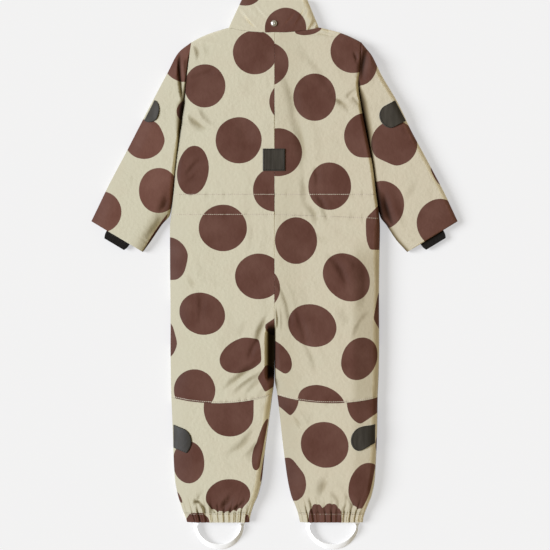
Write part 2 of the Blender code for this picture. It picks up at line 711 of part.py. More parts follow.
def make_reflectors(material, collection):
    centre_x, centre_y = BACK_PATCH_CENTRE
    half = BACK_PATCH_SIDE / 2
    grid = []
    for y in spread(centre_y - half, centre_y + half, 4):
        across = spread(centre_x - half, centre_x + half, 8)
        grid.append([body_top("left" if x < 0 else "right", x, y) for x in across])
    make_patch("reflector_back", grid, material, collection)
    for side in SIDES:
        leg = tab_grid(LEG_TABS[side], side, True, body_top)
        make_patch("reflector_leg_" + side, leg, material, collection)
        sleeve = tab_grid(SLEEVE_TABS[side], side, False, sleeve_over)
        make_patch("reflector_sleeve_" + side, sleeve, material, collection)


def make_press_stud(material, collection):
    """The cap of a press stud on the back of the collar."""
    _, _, heights = collar_layers(0.0, 0.16)
    shape = bmesh.new()
    bmesh.ops.create_cone(
        shape,
        cap_ends=True,
        segments=20,
        radius1=STUD_RADIUS * MM,
        radius2=STUD_RADIUS * 0.72 * MM,
        depth=STUD_HEIGHT * MM,
    )
    mesh = bpy.data.meshes.new("press_stud")
    shape.to_mesh(mesh)
    shape.free()
    stud = add_object("press_stud", mesh, material, collection)
    x, y = STUD_CENTRE
    stud.location = (x * MM, y * MM, (heights.top + PATCH_LIFT + STUD_HEIGHT / 2) * MM)


def make_cuffs(material, collection):
    """A flattened knit tube that looks out of each sleeve's hem."""
    for side in SIDES:
        hem = SLEEVES[side][-1]
        run_x = hem.under_x - hem.fold_x
        run_y = hem.under_y - hem.fold_y
        width = math.hypot(run_x, run_y)
        run_x /= width
        run_y /= width
        out_x = -run_y * SIGN[side]
        out_y = run_x * SIGN[side]
        outer = []
        inner = []
        for out in (-CUFF_INSIDE, -7.0, 0.5, CUFF_OUTSIDE * 0.7, CUFF_OUTSIDE):
            taper = CUFF_TAPER * max(0.0, out / CUFF_OUTSIDE) ** 2
            _, _, slot = sleeve_layers(side, min(1.0, 1 + out / SLEEVE_LENGTH), 0.5)
            middle_z = (slot.under_back + slot.over_front) / 2
            start = CUFF_START[side] + taper
            end = CUFF_START[side] + CUFF_WIDTH - taper
            for grid, inset in ((outer, 0.0), (inner, CUFF_WALL)):
                row = []
                for low in (False, True):
                    places = spread(start + inset, end - inset, 4)
                    half = CUFF_HEIGHT / 2 - inset
                    for along in reversed(places) if low else places:
                        x = hem.fold_x + run_x * along + out_x * out
                        y = hem.fold_y + run_y * along + out_y * out
                        row.append((x, y, middle_z + (-half if low else half)))
                grid.append(row)
        wall("cuff_" + side, outer, inner, material, collection, ring=True)


def make_foot_straps(material, collection):
    """An elastic loop under each foot, which comes out of the leg casing and turns on edge."""
    root_z = table_row(BODY, LEG_HEM).crown / 2 - 0.2
    half_foot = STRAP_WIDTH / 2 * math.cos(STRAP_TILT_FOOT)
    half_foot += STRAP_CLOTH / 2 * math.sin(STRAP_TILT_FOOT)
    drop = LEG_HEM - (STRAP_LOWEST + half_foot)
    for side in SIDES:
        half_span = STRAP_HALF_SPAN[side]
        path = []
        for up, inward in STRAP_ROOT:
            path.append((-half_span + inward, up, 0.0))
        for step in range(1, 16):
            angle = math.pi * step / 16
            fall = math.sin(angle) ** 1.2
            reach = half_span - STRAP_LEAN * (1 - fall) ** 2
            path.append((-reach * math.cos(angle), -drop * fall, 1.0))
        path += [(-x, y, free) for x, y, free in reversed(path[: len(STRAP_ROOT)])]
        outer = []
        inner = []
        for index, (x, y, free) in enumerate(path):
            before = path[max(index - 1, 0)]
            after = path[min(index + 1, len(path) - 1)]
            length = math.hypot(after[0] - before[0], after[1] - before[1])
            side_x = (after[1] - before[1]) / length
            side_y = -(after[0] - before[0]) / length
            fall = min(1.0, -y / drop) if free else 0.0
            turn = min(1.0, fall * STRAP_TWIST)
            tilt = (STRAP_TILT_ARM + (STRAP_TILT_FOOT - STRAP_TILT_ARM) * fall**1.6) * turn
            rest_z = STRAP_WIDTH / 2 * math.sin(tilt) + STRAP_CLOTH / 2 * math.cos(tilt)
            z = root_z + (rest_z - root_z) * turn
            band = (side_x * math.cos(tilt), side_y * math.cos(tilt), -math.sin(tilt))
            face = (side_x * math.sin(tilt), side_y * math.sin(tilt), math.cos(tilt))
            centre = (STRAP_CENTRE[side] + x, LEG_HEM + y, z)
            rows = ([], [])
            for across in (-STRAP_WIDTH / 2, 0.0, STRAP_WIDTH / 2):
                for row, lift in zip(rows, (STRAP_CLOTH / 2, -STRAP_CLOTH / 2)):
                    row.append([centre[i] + band[i] * across + face[i] * lift for i in range(3)])
            outer.append(rows[0])
            inner.append(rows[1])
        wall("foot_strap_" + side, outer, inner, material, collection)


def make_block(name, low, high, material, collection):
    shape = bmesh.new()
    bmesh.ops.create_cube(shape, size=1.0)
    size = [(b - a) * MM for a, b in zip(low, high)]
    bmesh.ops.scale(shape, vec=size, verts=shape.verts)
    mesh = bpy.data.meshes.new(name)
    shape.to_mesh(mesh)
    shape.free()
    block = add_object(name, mesh, material, collection)
    block.location = [(a + b) / 2 * MM for a, b in zip(low, high)]


def make_zip(tape, metal, collection):
    """The closed front zip, which runs between the fronts on the underside."""
    slider_top = COLLAR_TOP - 12.0
    strip_top = slider_top - SLIDER_LENGTH - SEAM_GAP
    low = (-ZIP_HALF_WIDTH, ZIP_FOOT, ZIP_FLOOR_GAP)
    high = (ZIP_HALF_WIDTH, strip_top, ZIP_FLOOR_GAP + ZIP_THICKNESS)
    make_block("zip_strip", low, high, tape, collection)
    low = (-SLIDER_HALF_WIDTH, slider_top - SLIDER_LENGTH, ZIP_FLOOR_GAP)
    high = (SLIDER_HALF_WIDTH, slider_top, ZIP_FLOOR_GAP + SLIDER_HEIGHT)
    make_block("zip_slider", low, high, metal, collection)


def main():
    for thing in list(bpy.data.objects):
        bpy.data.objects.remove(thing)
    collection = bpy.data.collections.new("snowsuit")
    bpy.context.scene.collection.children.link(collection)
    cloth = make_material("padded_cloth", CREAM, 0.65)
    knit = make_material("knit_cuff", BLACK, 0.9)
    reflector = make_material("reflector", REFLECTOR, 0.45)
    elastic = make_material("strap_elastic", WHITE, 0.5)
    metal = make_material("metal", STEEL, 0.25, 1.0)
    tape = make_material("zip_tape", CREAM, 0.6)
    make_body(cloth, collection)
    make_leg_casings(cloth, collection)
    make_sleeves(cloth, collection)
    make_collar(cloth, collection)
    make_reflectors(reflector, collection)
    make_press_stud(metal, collection)
    make_cuffs(knit, collection)
    make_foot_straps(elastic, collection)
    make_zip(tape, metal, collection)


main()
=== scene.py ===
"""Looks of the padded snowsuit: printed cloth, knit cuffs, patches, sewing, stud, zip and elastic.

The plan sizes repeat the part's own, in millimetres, and become metres where a mesh is made.
Each cloth piece is a closed wall whose outer skin carries the folds. Every point also keeps
its place on the flat cloth in the attribute "cut", which the dot print is drawn in, and the
light and shade painted into the cloth's colour there in the attribute "tone".
"""

import itertools
import math
from collections import namedtuple

import bmesh
import bpy
import numpy as np
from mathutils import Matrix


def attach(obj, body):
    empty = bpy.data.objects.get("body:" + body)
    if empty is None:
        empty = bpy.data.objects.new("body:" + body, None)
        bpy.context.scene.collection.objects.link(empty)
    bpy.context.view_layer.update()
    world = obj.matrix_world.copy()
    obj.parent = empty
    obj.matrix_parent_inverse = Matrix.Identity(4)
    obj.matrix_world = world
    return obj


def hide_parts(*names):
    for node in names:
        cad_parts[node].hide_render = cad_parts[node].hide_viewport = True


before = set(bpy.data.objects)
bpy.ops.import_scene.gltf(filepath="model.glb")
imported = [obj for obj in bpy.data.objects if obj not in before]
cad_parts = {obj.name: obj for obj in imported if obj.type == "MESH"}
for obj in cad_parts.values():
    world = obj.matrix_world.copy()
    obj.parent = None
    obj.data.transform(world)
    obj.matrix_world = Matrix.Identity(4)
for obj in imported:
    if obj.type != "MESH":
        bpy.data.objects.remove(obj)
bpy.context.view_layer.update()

MM = 0.001
SIDES = ("left", "right")
SIGN = {"left": -1.0, "right": 1.0}
OTHER = {"left": "right", "right": "left"}
SEED = {"left": 11, "right": 12}

# The part's sizes.
SEAM_GAP = 0.3
EDGE_CLOTH = 2.4
# The least that a wall's outer side stands off its inner side.
THINNEST = 1.2
SLOT = 3.2
LEG_SLOT = 3.9
CUFF_SLOT = 4.4
SEAM_SHARE = 0.36
FOLD_INSET = 3.2
UNDER_ROUND = 16.0
SEAM_ROUND = 8.0
SHOULDER_ROUND = 26.0
SLEEVE_ROUND = 26.0
JOINED = 0.86
HEM_LIFT = 0.5
COLLAR_TOP_LIFT = 0.35
CASING_TOP = -430.0
LEG_HEM = -447.6
KNEE_SEAM = -222.0
ARMHOLE_FOOT = {"left": 306.0, "right": 334.0}
SLEEVE_TUCK = 1.0
SHOULDER = 417.5
LEG_SLOT_START = -395.0
BODY_CROWN = 25.0
ZIP_FOOT = -60.0
FRONT_SHIFT = 0.5
# The waist casing's stitch lines, the lower of which drops to the right.
WAIST_HIGH = 143.0
WAIST_LOW = 107.0
WAIST_DROP = 7.0
# The centre seam is pressed open, and its allowance shows as a thin ridge on the left back.
SEAM_RIDGE = 0.3
SEAM_FILL = 0.6
SEAM_CLOSE = 0.8
COLLAR_TOP = 498.0

# Levels of y with the panels' sides, the height of the padding, how full it stays at the
# centre and at each side (1 full, 0 rounded off), and how far the row rises at the centre,
# peaks at the neck and bows.
Row = namedtuple(
    "Row",
    "y side_left inner_left inner_right side_right crown lift_inner lift_left lift_right rise peak bow",
    defaults=(0.93, 0.0, 0.0, 0.0, 0.0, 0.0),
)
BODY = [
    Row(-448, -157.5, -45.2, 46, 159.2, 14, 0),
    Row(-440, -160.2, -44, 44.4, 160.2, 14.5, 0),
    Row(-430, -164, -42, 42, 163, 16, 0),
    Row(-416, -168.6, -37.5, 37, 168.4, 19, 0),
    Row(-400, -173.8, -30.6, 30.4, 174.6, 22, 0),
    Row(-372, -179, -23.4, 24, 180.2, 24, 0),
    Row(-334, -181.6, -19.2, 18.6, 182.6, 25, 0),
    Row(-296, -182.8, -14.6, 14, 184.2, 25, 0, bow=-2),
    Row(-252, -184.6, -8.6, 9.2, 185.2, 25, 0, bow=-8),
    Row(-222, -185.8, -4.2, 5.2, 185.6, 25, 0, rise=4, bow=-12),
    Row(-192, -186.6, -0.8, 1.2, 187, 25, 0, rise=2, bow=-8),
    Row(-165, -187, -0.5, 0.5, 187.8, 25, 0, bow=-3),
    Row(-130, -187.4, -0.3, 0.3, 188.2, 25, 0.25),
    Row(-95, -187.2, -0.15, 0.15, 188.2, 25, 0.85),
    Row(-50, -187.4, -0.15, 0.15, 188, 25),
    Row(20, -188.2, -0.15, 0.15, 188.6, 25),
    Row(83, -188.4, -0.15, 0.15, 189.8, 25),
    Row(105, -186.4, -0.15, 0.15, 188.6, 24),
    Row(143, -182.6, -0.15, 0.15, 183.4, 24),
    Row(190, -178.4, -0.15, 0.15, 177.8, 25),
    Row(254, -170.4, -0.15, 0.15, 165.6, 25),
    Row(304, -164.2, -0.15, 0.15, 156.2, 25),
    Row(342, -159.4, -0.15, 0.15, 151.4, 25, lift_left=0.86, lift_right=0.3, rise=2, peak=1),
    Row(367, -156.2, -0.15, 0.15, 153.2, 25, lift_left=0.86, lift_right=0.86, rise=6, peak=5),
    Row(395, -152.6, -0.15, 0.15, 155, 24, lift_left=0.86, lift_right=0.86, rise=12, peak=11),
    Row(417.5, -149.9, -0.15, 0.15, 156.2, 23, lift_left=0.86, lift_right=0.86, rise=17, peak=17),
]
# The neck's share of the top row, where its curve is drawn, and the bow of the shoulder.
NECK_SHARE = {"left": 0.554, "right": 0.514}
NECK_KNOTS = (0.0, 0.14, 0.3, 0.52, 0.76, 1.0)
SHOULDER_BOW = {"left": 0.22, "right": 0.27}

# Cross lines of each sleeve, from the shoulder (reach 0) to the hem (1): their ends at the
# outer fold and at the seam under the arm, and the height of the padding.
Section = namedtuple("Section", "reach fold_x fold_y under_x under_y crown")
SLEEVES = {
    "left": [
        Section(0.00, -149.9, 417.6, -162.9, 313.2, 24.5),
        Section(0.08, -173.0, 398.9, -165.8, 290.0, 24.0),
        Section(0.19, -192.4, 363.2, -169.9, 257.9, 23.0),
        Section(0.35, -220.3, 310.6, -175.7, 211.3, 22.0),
        Section(0.50, -246.1, 260.8, -180.4, 167.8, 21.5),
        Section(0.62, -266.4, 221.2, -183.6, 134.8, 21.0),
        Section(0.73, -285.8, 184.8, -188.5, 107.0, 20.5),
        Section(0.81, -299.4, 158.9, -202.7, 89.6, 20.0),
        Section(0.93, -319.0, 118.4, -223.4, 59.0, 18.5),
        Section(1.00, -330.4, 95.1, -237.6, 39.8, 17.0),
    ],
    "right": [
        Section(0.00, 156.2, 417.6, 151.4, 342.0, 24.5),
        Section(0.08, 174.8, 394.4, 154.6, 315.7, 24.0),
        Section(0.19, 193.0, 358.5, 160.7, 280.8, 23.0),
        Section(0.35, 222.8, 307.9, 170.6, 229.5, 22.0),
        Section(0.50, 246.6, 258.1, 178.9, 181.4, 21.5),
        Section(0.62, 267.4, 219.6, 183.6, 144.9, 21.0),
        Section(0.755, 290.8, 175.7, 190.5, 104.5, 20.5),
        Section(0.83, 303.6, 151.6, 202.3, 88.0, 20.0),
        Section(0.92, 317.9, 121.8, 219.2, 62.3, 18.5),
        Section(1.00, 330.4, 95.1, 239.6, 39.8, 17.0),
    ],
}
SLEEVE_LENGTH = 340.0
SLEEVE_WIDTH = 105.0
COLLAR_HEAD = {"left": -59.0, "right": 59.2}
COLLAR_CORNER_DROP = 3.0
COLLAR_RISE = 54.0
COLLAR_HALF_WIDTH = 66.0
COLLAR_CROWN_FOOT = 24.0
COLLAR_CROWN_TOP = 19.0
COLLAR_END = 5.2
GATHERS = 11
GATHER_REACH = 34.0
# How dark the painted shade is in the valleys of the leg gathers.
VALLEY_SHADE = 0.6
PATCH_LIFT = 0.85
PATCH_CLOTH = 0.9
PATCH_EDGE = 1.0
PATCH_PRESS = 0.5
BACK_PATCH_SIDE = 40.0
BACK_PATCH_CENTRE = (-1.0, 205.0)
# A tab from the middle of its straight side (x, y) on the garment's edge: the way it points
# in degrees, half its width at the edge and at its end, its reach, where across its width it
# reaches furthest (-1 low, 1 high), and how much its two ends are rounded.
Tab = namedtuple("Tab", "x y points half_edge half_end reach peak round_high round_low")
LEG_TABS = {
    "left": Tab(-183.1, -291.6, -20.0, 19.4, 19.4, 36.8, -0.25, 24.0, 4.0),
    "right": Tab(182.0, -286.2, 199.0, 16.0, 20.0, 48.0, -0.25, 26.0, 12.0),
}
SLEEVE_TABS = {
    "left": Tab(-226.4, 295.1, -26.9, 20.5, 20.5, 21.0, -0.30, 20.0, 19.0),
    "right": Tab(227.7, 294.3, 208.1, 20.6, 20.6, 42.0, 0.00, 19.5, 16.0),
}
STUD_CENTRE = (-1.0, 450.0)
STUD_RADIUS = 5.6
# Shares of the radius and heights of the cap's rim and of its pricked middle.
STUD_RIM = ((0.80, 0.0), (0.98, 0.15), (1.0, 0.6), (0.97, 0.95), (0.90, 1.08), (0.85, 1.0))
STUD_PRICK = ((0.11, 2.42), (0.06, 2.2))
STUD_DOME = 1.5
STUD_SUNK = 0.4
STUD_LEVEL = 0.16
STUD_SIDES = 48
CUFF_START = {"left": 32.5, "right": 30.5}
CUFF_WIDTH = 48.0
CUFF_TAPER = 3.5
CUFF_INSIDE = 14.0
CUFF_OUTSIDE = 14.5
CUFF_WALL = 1.4
CUFF_HEIGHT = 3.4
CUFF_RIBS = 44
CUFF_RELIEF = 0.28
STRAP_WIDTH = 11.0
STRAP_CLOTH = 1.8
STRAP_CENTRE = {"left": -99.8, "right": 105.1}
STRAP_HALF_SPAN = {"left": 47.0, "right": 49.5}
STRAP_ROOT = ((12.0, 7.4), (6.0, 6.6), (0.0, 6.0), (-2.0, 5.8))
STRAP_LEAN = 6.0
STRAP_TWIST = 7.0
STRAP_TILT_ARM = math.radians(68)
STRAP_TILT_FOOT = math.radians(22)
STRAP_LOWEST = -498.0
ZIP_HALF_WIDTH = 4.6
ZIP_CLOSE = 20.0
ZIP_FLOOR_GAP = 0.5
TAPE_LOW = 2.0
TAPE_HIGH = 3.0
TOOTH_PITCH = 2.6
TOOTH_LENGTH = 1.9
TOOTH_HIGH = 2.3
TOOTH_SPANS = ((-1.0, 2.4), (-2.4, 1.0))
SLIDER_DROP = 12.0
SLIDER_LENGTH = 13.0
SLIDER_HALF_WIDTH = 4.4
SLIDER_HEIGHT = 5.0
# Shares of the slider's length from its foot, and of its half width there.
SLIDER_OUTLINE = (
    (0.0, 0.30),
    (0.10, 0.62),
    (0.34, 0.80),
    (0.58, 0.84),
    (0.80, 1.0),
    (0.93, 0.92),
    (1.0, 0.66),
)
# Corners of a box's faces, when x turns fastest and z slowest.
BOX_FACES = ((0, 2, 3, 1), (4, 5, 7, 6), (0, 1, 5, 4), (2, 6, 7, 3), (0, 4, 6, 2), (1, 3, 7, 5))

# How the padding rolls off, which is softer along the legs than beside the arms.
LEG_ROLL = 38.0
ROLL_POWER = 1.7
FULL_SHARE = 0.55
ARM_ROLL = {"left": 13.0, "right": 8.5}
ARM_LEVEL = 98.0
TRENCH_LOW = -196.0
TRENCH_HIGH = -92.0
TRENCH_EDGE = -15.0
TRENCH_ROUND = 10.0

# Folds of the upper side: a trough (drop > 0) or a ridge (drop < 0) from (x0, y0) to
# (x1, y1), bent sideways at its middle.
Crease = namedtuple("Crease", "x0 y0 x1 y1 bend width drop")
FOLD_DEPTH = 1.2
CREASES = [
    # left shoulder and upper back
    (-137, 417, -92, 415, 0, 4.5, 1.0),
    (-145, 415, -135, 386, 2, 4.5, 2.4),
    (-150, 353, -110, 363, -2, 5.0, 1.5),
    (-156, 289, -118, 257, -3, 6.0, 2.8),
    (-138, 294, -121, 267, -2, 5.0, -1.3),
    (-166, 275, -158, 262, 0, 5.0, 1.6),
    (-62, 284, -45, 208, 4, 14.0, 1.3),
    (-158, 174, -131, 205, 2, 4.0, 1.3),
    (-160, 162, -138, 180, -2, 4.0, 1.0),
    # right shoulder and upper back
    (56, 431, 116, 427, 1, 2.4, 2.0),
    (53, 403, 110, 316, 6, 9.0, 1.4),
    (110, 315, 136, 293, 2, 4.5, 2.4),
    (20, 357, 38, 282, 3, 8.0, 2.1),
    (37, 288, 55, 188, 3, 9.0, 2.4),
    (54, 172, 58, 130, 0, 6.0, 1.8),
    (143, 398, 148, 382, 1, 3.0, 2.0),
    (130, 316, 149, 328, 2, 3.5, 1.4),
    (141, 318, 152, 304, 1, 3.2, 1.6),
    (113, 315, 121, 302, 0, 4.0, 1.0),
    # waist and hips
    (75, 192, 77, 160, 1, 4.0, 1.4),
    (76, 142, 94, 114, 1, 3.5, 2.2),
    (59, 128, 78, 89, 3, 5.0, 2.4),
    (88, 114, 97, 98, 1, 3.5, 1.2),
    (75, 70, 104, 54, 2, 8.0, 1.6),
    (100, 33, 130, -17, 3, 5.0, 2.6),
    (124, 27, 139, 8, 2, 6.0, -1.3),
    (159, 24, 161, -60, 5, 9.0, 1.8),
    (122, -62, 150, -88, -4, 9.0, 1.4),
    (164, -67, 136, -112, -5, 5.0, -1.5),
    (-156, 4, -137, -25, -4, 7.0, 2.0),
    (-140, -38, -140, -88, 2, 4.0, -0.9),
    (-128, -43, -138, -84, -2, 8.0, 1.1),
    (-38, 92, -42, 40, 2, 7.0, 0.9),
    (-100, 66, -62, 60, 3, 6.0, 0.9),
    # crotch
    (5, -12, 29, -94, 6, 4.5, 2.0),
    (37, -64, 58, -126, 3, 5.5, 1.5),
    (56, -122, 78, -174, 2, 6.0, 1.6),
    (4.2, -64, 5.4, -101, 1, 1.8, 2.2),
    (-28, -117, -45, -151, -2, 4.0, 1.5),
    (-12, -78, -30, -124, -4, 5.0, 3.0),
    (-40, -86, -60, -112, -3, 8.0, 1.2),
    (-28, -160, -86, -206, -3, 5.0, 3.0),
    (-24, -174, -80, -211, -3, 4.5, -1.6),
    (-20, -186, -46, -213, -1, 5.0, 2.0),
    (17, -189, 48, -211, 2, 5.0, 1.4),
    # lower legs
    (27, -250, 50, -279, 2, 5.0, 2.3),
    (-80, -323, -36, -284, -3, 6.0, 1.9),
    (-66, -330, -36, -300, -2, 5.0, -1.1),
    (-20, -300, -44, -338, -3, 7.0, 1.5),
    (97, -367, 85, -399, -3, 8.0, 2.4),
    (101, -390, 119, -411, 2, 6.0, 1.8),
    (172, -351, 164, -396, 1, 3.5, -1.1),
    (30, -383, 50, -405, 2, 5.0, 1.8),
    (-16, -296, -23, -370, 1, 2.6, -0.9),
    (-150, -418, -132, -400, -2, 4.5, 2.2),
    (-142, -408, -123, -432, 5, 3.2, 3.0),
    (-113, -417, -105, -438, 1, 2.6, 2.2),
    (-97, -421, -77, -400, -2, 5.0, 2.4),
    (-79, -427, -56, -411, -2, 3.2, 2.4),
    (130, -398, 142, -420, 2, 4.0, 1.6),
    (62, -402, 70, -424, 1, 4.0, 1.6),
    # sleeves
    (-171, 397, -169, 344, -1, 3.4, 5.0),
    (-169, 350, -164, 312, -1, 3.2, 4.0),
    (-193, 140, -205, 112, 2, 6.0, 3.2),
    (-200, 105, -230, 64, 2, 6.5, 2.6),
    (-232, 330, -218, 268, 3, 7.0, 0.8),
    (-270, 200, -246, 158, 2, 8.0, 0.9),
    (167, 408, 156, 348, -3, 6.0, 4.2),
    (195, 148, 214, 84, -2, 6.0, 4.2),
    (229, 57, 249, 52, 1, 3.0, 1.2),
    (222, 292, 238, 246, 3, 8.0, 0.9),
    (262, 168, 236, 128, 2, 8.0, 0.9),
    # collar
    (-63, 482, -28, 439, -2, 3.6, 2.3),
    (-34, 486, -12, 460, -1, 3.2, 1.5),
    (-79, 449, -39, 437, 1, 3.0, 1.7),
    (-48, 478, -22, 450, -1, 4.0, -0.9),
    (39, 470, 17, 445, 1, 3.6, 2.3),
    (55, 476, 39, 450, 1, 3.0, 1.5),
    (74, 459, 61, 437, 1, 3.0, 1.8),
    (47, 466, 31, 446, 1, 3.4, -0.9),
]

# Folds pressed up into the underside, which lies on the floor, in the same columns.
UNDER_CREASES = [
    (-128, 300, -160, 262, 4, 7.0, 2.2),
    (134, 318, 158, 284, -3, 6.0, 1.8),
    (-62, 150, -82, 60, 6, 12.0, 1.6),
    (84, 176, 60, 88, -6, 10.0, 1.8),
    (-16, -78, -44, -132, -4, 6.0, 2.6),
    (16, -80, 52, -136, 5, 6.0, 2.4),
    (-40, -196, -96, -238, 5, 7.0, 2.0),
    (44, -208, 92, -244, -4, 6.0, 1.8),
    (-150, -6, -128, -48, 3, 8.0, 1.6),
    (150, 12, 124, -30, -3, 8.0, 1.6),
    (-120, -330, -146, -392, -3, 7.0, 1.5),
    (118, -318, 88, -384, 4, 7.0, 1.6),
    (-222, 250, -206, 178, 3, 7.0, 1.6),
    (216, 262, 232, 190, -3, 7.0, 1.6),
]

# The dot print: centre, half sizes and turn in degrees, on the flat cloth of each piece.
# Each trim is a line through (x, y) that cuts the dot off on the side it faces, in degrees.
Dot = namedtuple("Dot", "x y half_x half_y turn trims", defaults=(0.0, ()))
DOTS = {
    "collar": [
        (-51.3, 512.6, 29.9, 29.9),
        (19.8, 441.9, 37.3, 36.2),
        (96.0, 500.0, 24.0, 26.0),
        (-112.0, 462.0, 25.0, 27.0),
    ],
    "back_left": [
        (-35.1, 397.8, 39.6, 39.6),
        (-125.1, 337.5, 37.0, 38.9),
        (-64.4, 239.9, 41.4, 41.4),
        (-146.6, 185.5, 28.4, 44.3, -7, ((-168.4, 213.7, 147),)),
        (30.4, 309.6, 39.6, 39.6),
        (0.9, 151.2, 39.6, 39.6),
        (-92.7, 82.8, 43.2, 41.9),
        (-193.6, 26.0, 39.4, 40.4, 0, ((-159.8, 9.7, -14), (-180, -10.8, 268))),
        (-27.9, -4.3, 43.2, 40.7),
        (-129.8, -71.2, 42.0, 37.0, -25, ((-164.0, -91.8, 209),)),
        (-213.7, -119.0, 39.2, 41.0, 0, ((-180.5, -100.8, 16), (-185, -151, 268))),
        (-56.5, -145.6, 44.0, 29.5, 24, ((-24, -145, 4), (-25.9, -123.8, 19), (-39.9, -115.0, 82))),
        (2.7, -93.6, 19.8, 17.1, 0, ((-9, -85.1, 124),)),
        (-16, -190, 20, 26, 0, ((-24.8, -177, 147), (-11.7, -208.8, -59), (-24, -199, 208))),
        (-143.5, -208.8, 37.5, 37.8),
    ],
    "back_right": [
        (-13.9, 377.1, 39.6, 39.6),
        (6.3, 218.3, 43.2, 43.2),
        (72.0, 317.3, 38.3, 42.7),
        (140.2, 400.0, 39.6, 39.6),
        (164.7, 247.9, 40.0, 41.0, 0, ((165, 208.8, 270),)),
        (99.2, 157.7, 38.2, 42.7),
        (38.7, 60.1, 37.8, 41.8),
        (222, 84.4, 60.0, 75.0, 0, ((163.4, 80, 180), (174.6, 111.3, 135), (200, 43.2, 270))),
        (129.1, -5.8, 46.6, 38.6, -48),
        (-29.2, -25.2, 39.6, 39.6),
        (67.9, -92.5, 44.5, 37.4, -22),
        (218.7, -70.0, 45.0, 50.0, 0, ((181.6, -59.4, 170), (182.7, -89.6, 210))),
        (152.5, -151.9, 39.5, 31.5, 66),
        (1.5, -148.0, 37.0, 22.4, -48, ((8.1, -172.8, 238),)),
        (84.7, -232.1, 44.2, 30.6, -21.6),
        (60.3, 439.2, 24.3, 9.6, 9.6),
    ],
    "lower_leg_left": [
        (-80.0, -240.0, 47.0, 51.5, 0, ((-37.2, -240, 0),)),
        (-154.4, -338.4, 28.8, 37.8),
        (-29.7, -325.8, 10.5, 27.0, -10, ((-20.5, -314, -11),)),
        (-23.0, -298.8, 7.4, 40.0, -17, ((-20.5, -314, -11),)),
        (-20.6, -348.0, 2.4, 26.0, -9),
        (-83.5, -399.0, 40.5, 30.5, 10),
        (-172.0, -402.5, 11.5, 3.0, -63.5),
    ],
    "leg_casing_left": [
        (-138.6, -449.0, 21.6, 20.5),
        (-49.5, -444.6, 4.0, 11.7),
    ],
    "lower_leg_right": [
        (8.0, -222.0, 35.6, 40.5, 0, ((19.4, -247.9, 231),)),
        (160.5, -232.0, 30.5, 37.8, 0, ((169, -260, -57),)),
        (90.0, -306.4, 43.6, 40.6, -25),
        (29.0, -370.0, 26.4, 39.8, 14, ((43.0, -345.7, 39),)),
        (164.5, -382.0, 31.2, 43.4, -12, ((168, -402, -27), (174.9, -380, -11))),
        (76.0, -440.0, 14.0, 26.0),
        (101.0, -441.0, 20.0, 28.0),
        (193.0, -308.0, 11.5, 22.0),
    ],
    "leg_casing_right": [
        (76.0, -444.0, 15.0, 30.0),
        (101.0, -444.0, 20.0, 31.0),
    ],
    "sleeve_left": [
        (-159.3, 385.2, 40.9, 40.9),
        (-233.6, 242.4, 36.6, 35.8, 10, ((-203.0, 259.8, 22),)),
        (-207.9, 150.3, 36.0, 40.5),
        (-314.1, 111.6, 39.0, 38.0),
        (-155.7, 291.6, 19.8, 20.7),
        (-214.5, 73.0, 41.0, 3.2, 57),
        (-252.0, 398.0, 39.0, 40.0),
        (-310.0, 300.0, 40.0, 38.0),
        (-368.0, 214.0, 38.0, 40.0),
        (-396.0, 132.0, 36.0, 38.0),
    ],
    "sleeve_right": [
        (152.1, 378.0, 32.4, 39.6),
        (215.6, 234.9, 41.8, 40.8, 0, ((194.5, 204.0, 246),)),
        (193.5, 124.2, 39.6, 43.2),
        (297.9, 91.8, 42.0, 43.2),
        (290.0, 176.0, 17.0, 3.8, -62),
        (246.0, 392.0, 40.0, 39.0),
        (316.0, 304.0, 39.0, 41.0),
        (372.0, 214.0, 40.0, 38.0),
        (402.0, 128.0, 37.0, 38.0),
    ],
}
DOT_WOBBLE = 2.0
TRIM_SCALE = 40.0
TRIM_ROUND = 0.14
# The hidden fronts carry the same print, in staggered rows.
FRONT_DOT = 40.0
FRONT_PITCH_X = 108.0
FRONT_PITCH_Y = 92.0

# Colours as linear RGB.
# The cream is painted darker and warmer on the right, away from the lamp: painted shade.
CREAM_LAMP_SIDE = (0.605, 0.570, 0.432)
CREAM_SHADED_SIDE = (0.592, 0.530, 0.398)
BROWN = (0.108, 0.045, 0.032)
BROWN_LIGHT = (0.142, 0.067, 0.050)
# How much brighter the brown is on the sleeve that faces the lamp.
BROWN_GAIN = {"left": 1.25, "right": 1.0}
THREAD = (0.50, 0.43, 0.34)
HEM_THREAD = (0.26, 0.20, 0.15)
LINING = (0.060, 0.045, 0.036)
KNIT = (0.0095, 0.0080, 0.0070)
FILM = (0.041, 0.036, 0.029)
# Each patch's film is painted lighter or darker against how the lamp falls on it.
FILM_PAINTED_LIGHT = {
    "back": 1.15,
    "leg_left": 0.8,
    "leg_right": 1.15,
    "sleeve_left": 0.95,
    "sleeve_right": 1.35,
}
FILM_THREAD = (0.020, 0.018, 0.014)
STRAP = (0.93, 0.93, 0.93)
# A faint glow is painted on the strap, standing in for light through the milky band.
STRAP_PAINTED_GLOW = 0.02
STEEL = (0.60, 0.59, 0.54)
TAPE = (0.42, 0.37, 0.27)
FLOOR = (0.386, 0.371, 0.343)
FLOOR_GLOW = (0.485, 0.497, 0.525)
FILL = (1.21, 1.02, 0.62)
KEY = (0.934, 0.994, 1.12)
FILL_STRENGTH = 0.25
KEY_STRENGTH = 4.6
KEY_SPREAD = 30.0
KEY_SLOPE = 33.0
KEY_TURN = -4.0
KEY_SHARE = 0.76

# How dark painted shade makes the cloth at the bottom of a closed fold or gap, against 1 in the open.
PAINTED_SHADE_TONE = 0.03
# Painted shade is a little warmer: powers for its red, green and blue.
SHADE_POWERS = np.array([1.0, 1.12, 1.4])
# The suit is about as bright on slopes to and from the low lamp as where it is flat, so light
# and shade are painted into its cloth's colour against them: darker on slopes to the lamp,
# lighter on slopes from it. Powers of the light gained and lost, and the tone's limits.
EVEN_BRIGHT = 1.1
EVEN_DARK = 0.9
EVEN_LOW = 0.5
EVEN_HIGH = 1.6
